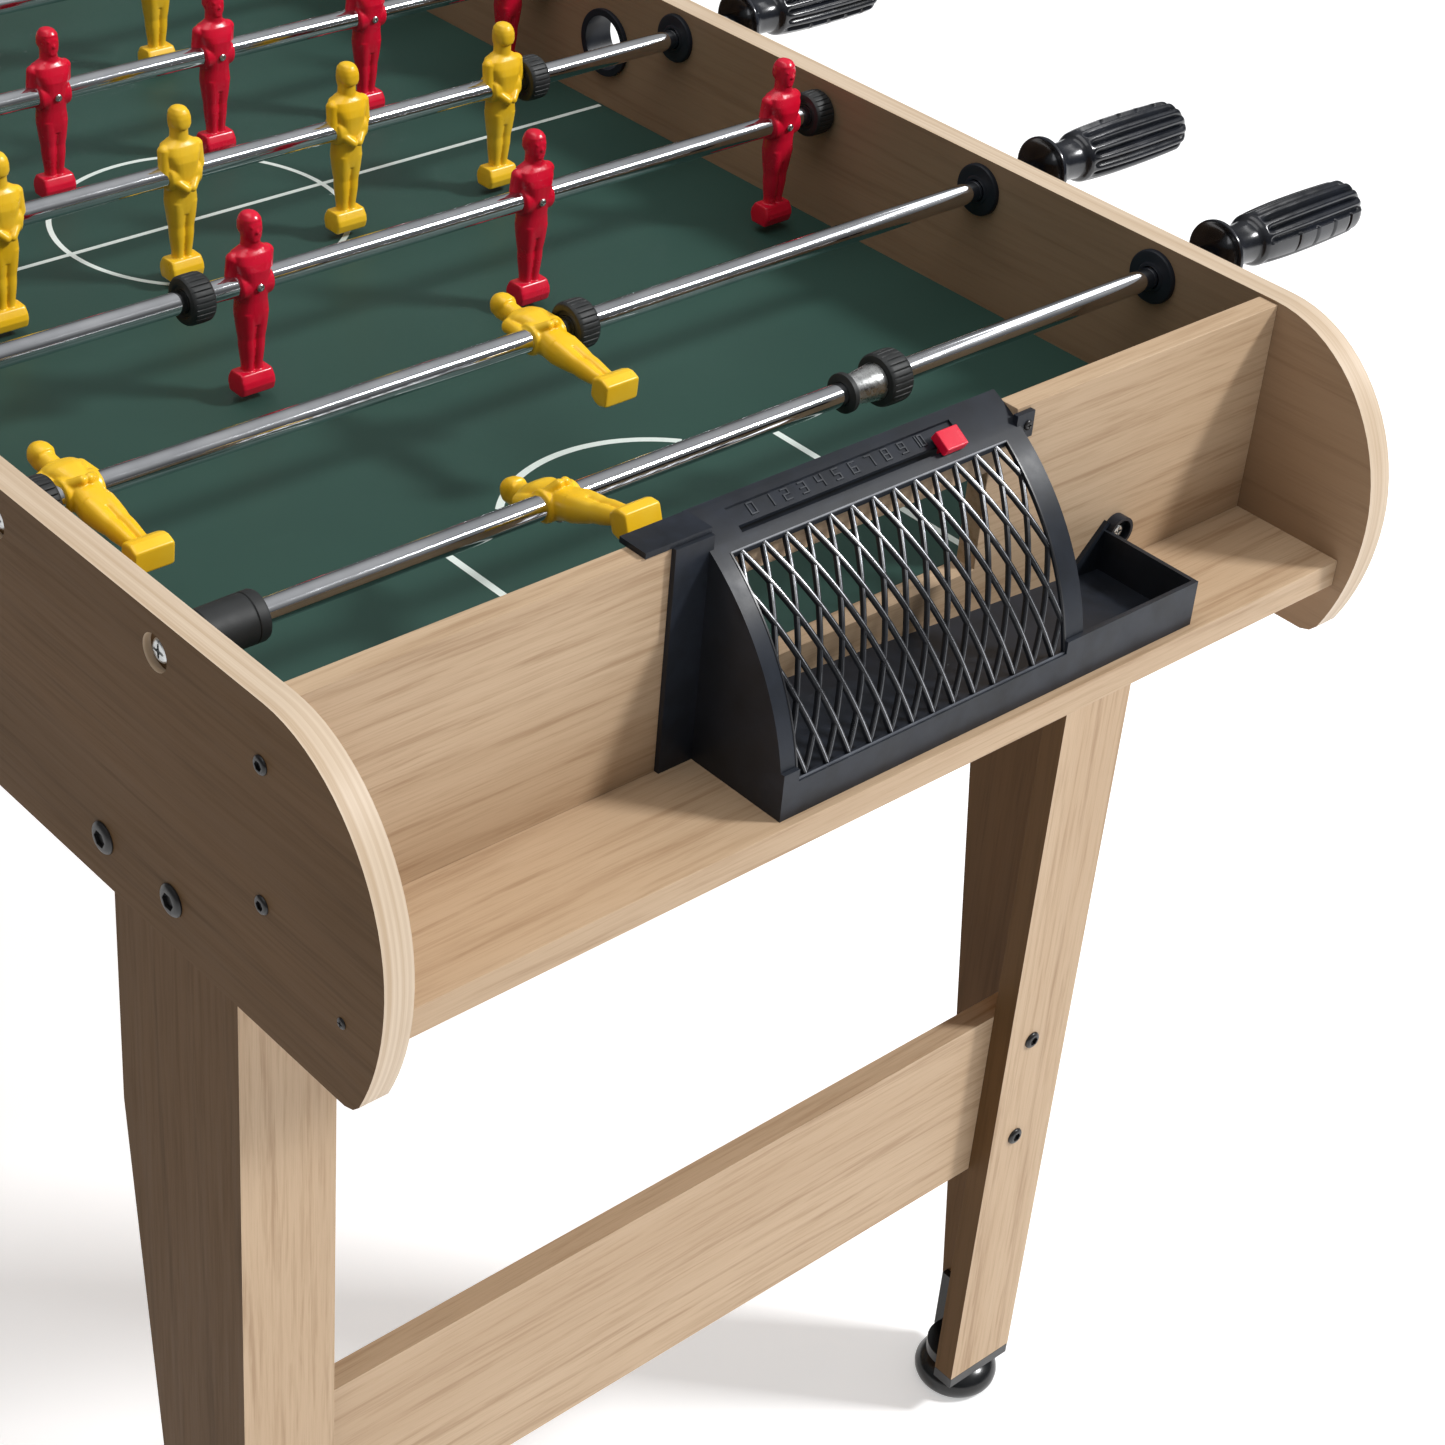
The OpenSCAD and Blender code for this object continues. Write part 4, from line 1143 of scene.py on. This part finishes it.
def studio_sky():
    """Soft white light from above, weaker towards the horizon."""
    world = bpy.data.worlds.new("studio")
    world.use_nodes = True
    sky = world.node_tree
    above = sky.nodes.new("ShaderNodeSeparateXYZ")
    sky.links.new(sky.nodes.new("ShaderNodeTexCoord").outputs["Generated"], above.inputs[0])
    glow = sky.nodes.new("ShaderNodeMapRange")
    sky.links.new(above.outputs["Z"], glow.inputs["Value"])
    limits = {"From Min": 0.25, "From Max": 0.95, "To Min": 0.10, "To Max": 0.52}
    for socket, value in limits.items():
        glow.inputs[socket].default_value = value
    sky.links.new(glow.outputs[0], sky.nodes["Background"].inputs["Strength"])
    sky.nodes["Background"].inputs["Color"].default_value = WHITE
    bpy.context.scene.world = world


def softbox(name, place, aim, size, power):
    """A square or oblong lamp at place, turned towards aim."""
    lamp = bpy.data.lights.new(name, "AREA")
    lamp.shape = "RECTANGLE"
    lamp.size, lamp.size_y = size
    lamp.energy = power
    made = bpy.data.objects.new(name, lamp)
    made.location = place
    made.rotation_euler = (Vector(aim) - Vector(place)).to_track_quat("-Z", "Y").to_euler()
    bpy.context.scene.collection.objects.link(made)


studio_floor()
studio_sky()
# Name, place, aim, size and power.
softbox("key", (4.0, 4.2, 5.4), (0.2, 0, 0.75), (1.0, 1.0), 400)
softbox("rim", (0.6, 1.9, 2.5), (0.35, 0.4, 0.8), (2.4, 0.25), 5)
softbox("top", (0.0, -0.3, 3.2), (0.1, 0, 0.7), (3.0, 1.2), 20)

scene = bpy.context.scene
scene.view_settings.view_transform = "Standard"
scene.view_settings.look = "None"
scene.view_settings.exposure = 0.0
scene.view_settings.gamma = 1.0

# The fitted camera: image size, focal length and optical centre in pixels, then its angles and place.
SIZE = 1445
FOCAL_PX = 2957.7
CENTRE_X, CENTRE_Y = 636.0, 657.4
AZIMUTH, ELEVATION, ROLL = 47.095, 33.672, 4.278
EYE = Vector((1.3207, -0.8587, 1.4943))
SENSOR = 36
lens = bpy.data.cameras.new("camera")
lens.sensor_width = SENSOR
lens.lens = FOCAL_PX / SIZE * SENSOR
lens.shift_x = (SIZE / 2 - CENTRE_X) / SIZE
lens.shift_y = (CENTRE_Y - SIZE / 2) / SIZE
lens.clip_start = 0.05
lens.clip_end = 60
camera = bpy.data.objects.new("camera", lens)
a, e = math.radians(AZIMUTH), math.radians(ELEVATION)
back = Vector((math.sin(a) * math.cos(e), -math.cos(a) * math.cos(e), math.sin(e)))
right = Vector((0, 0, 1)).cross(back).normalized()
up = back.cross(right)
upright = Matrix((right, up, back)).transposed().to_4x4()
camera.matrix_world = Matrix.Translation(EYE) @ upright @ Matrix.Rotation(math.radians(ROLL), 4, "Z")
bpy.context.scene.collection.objects.link(camera)
scene.camera = camera
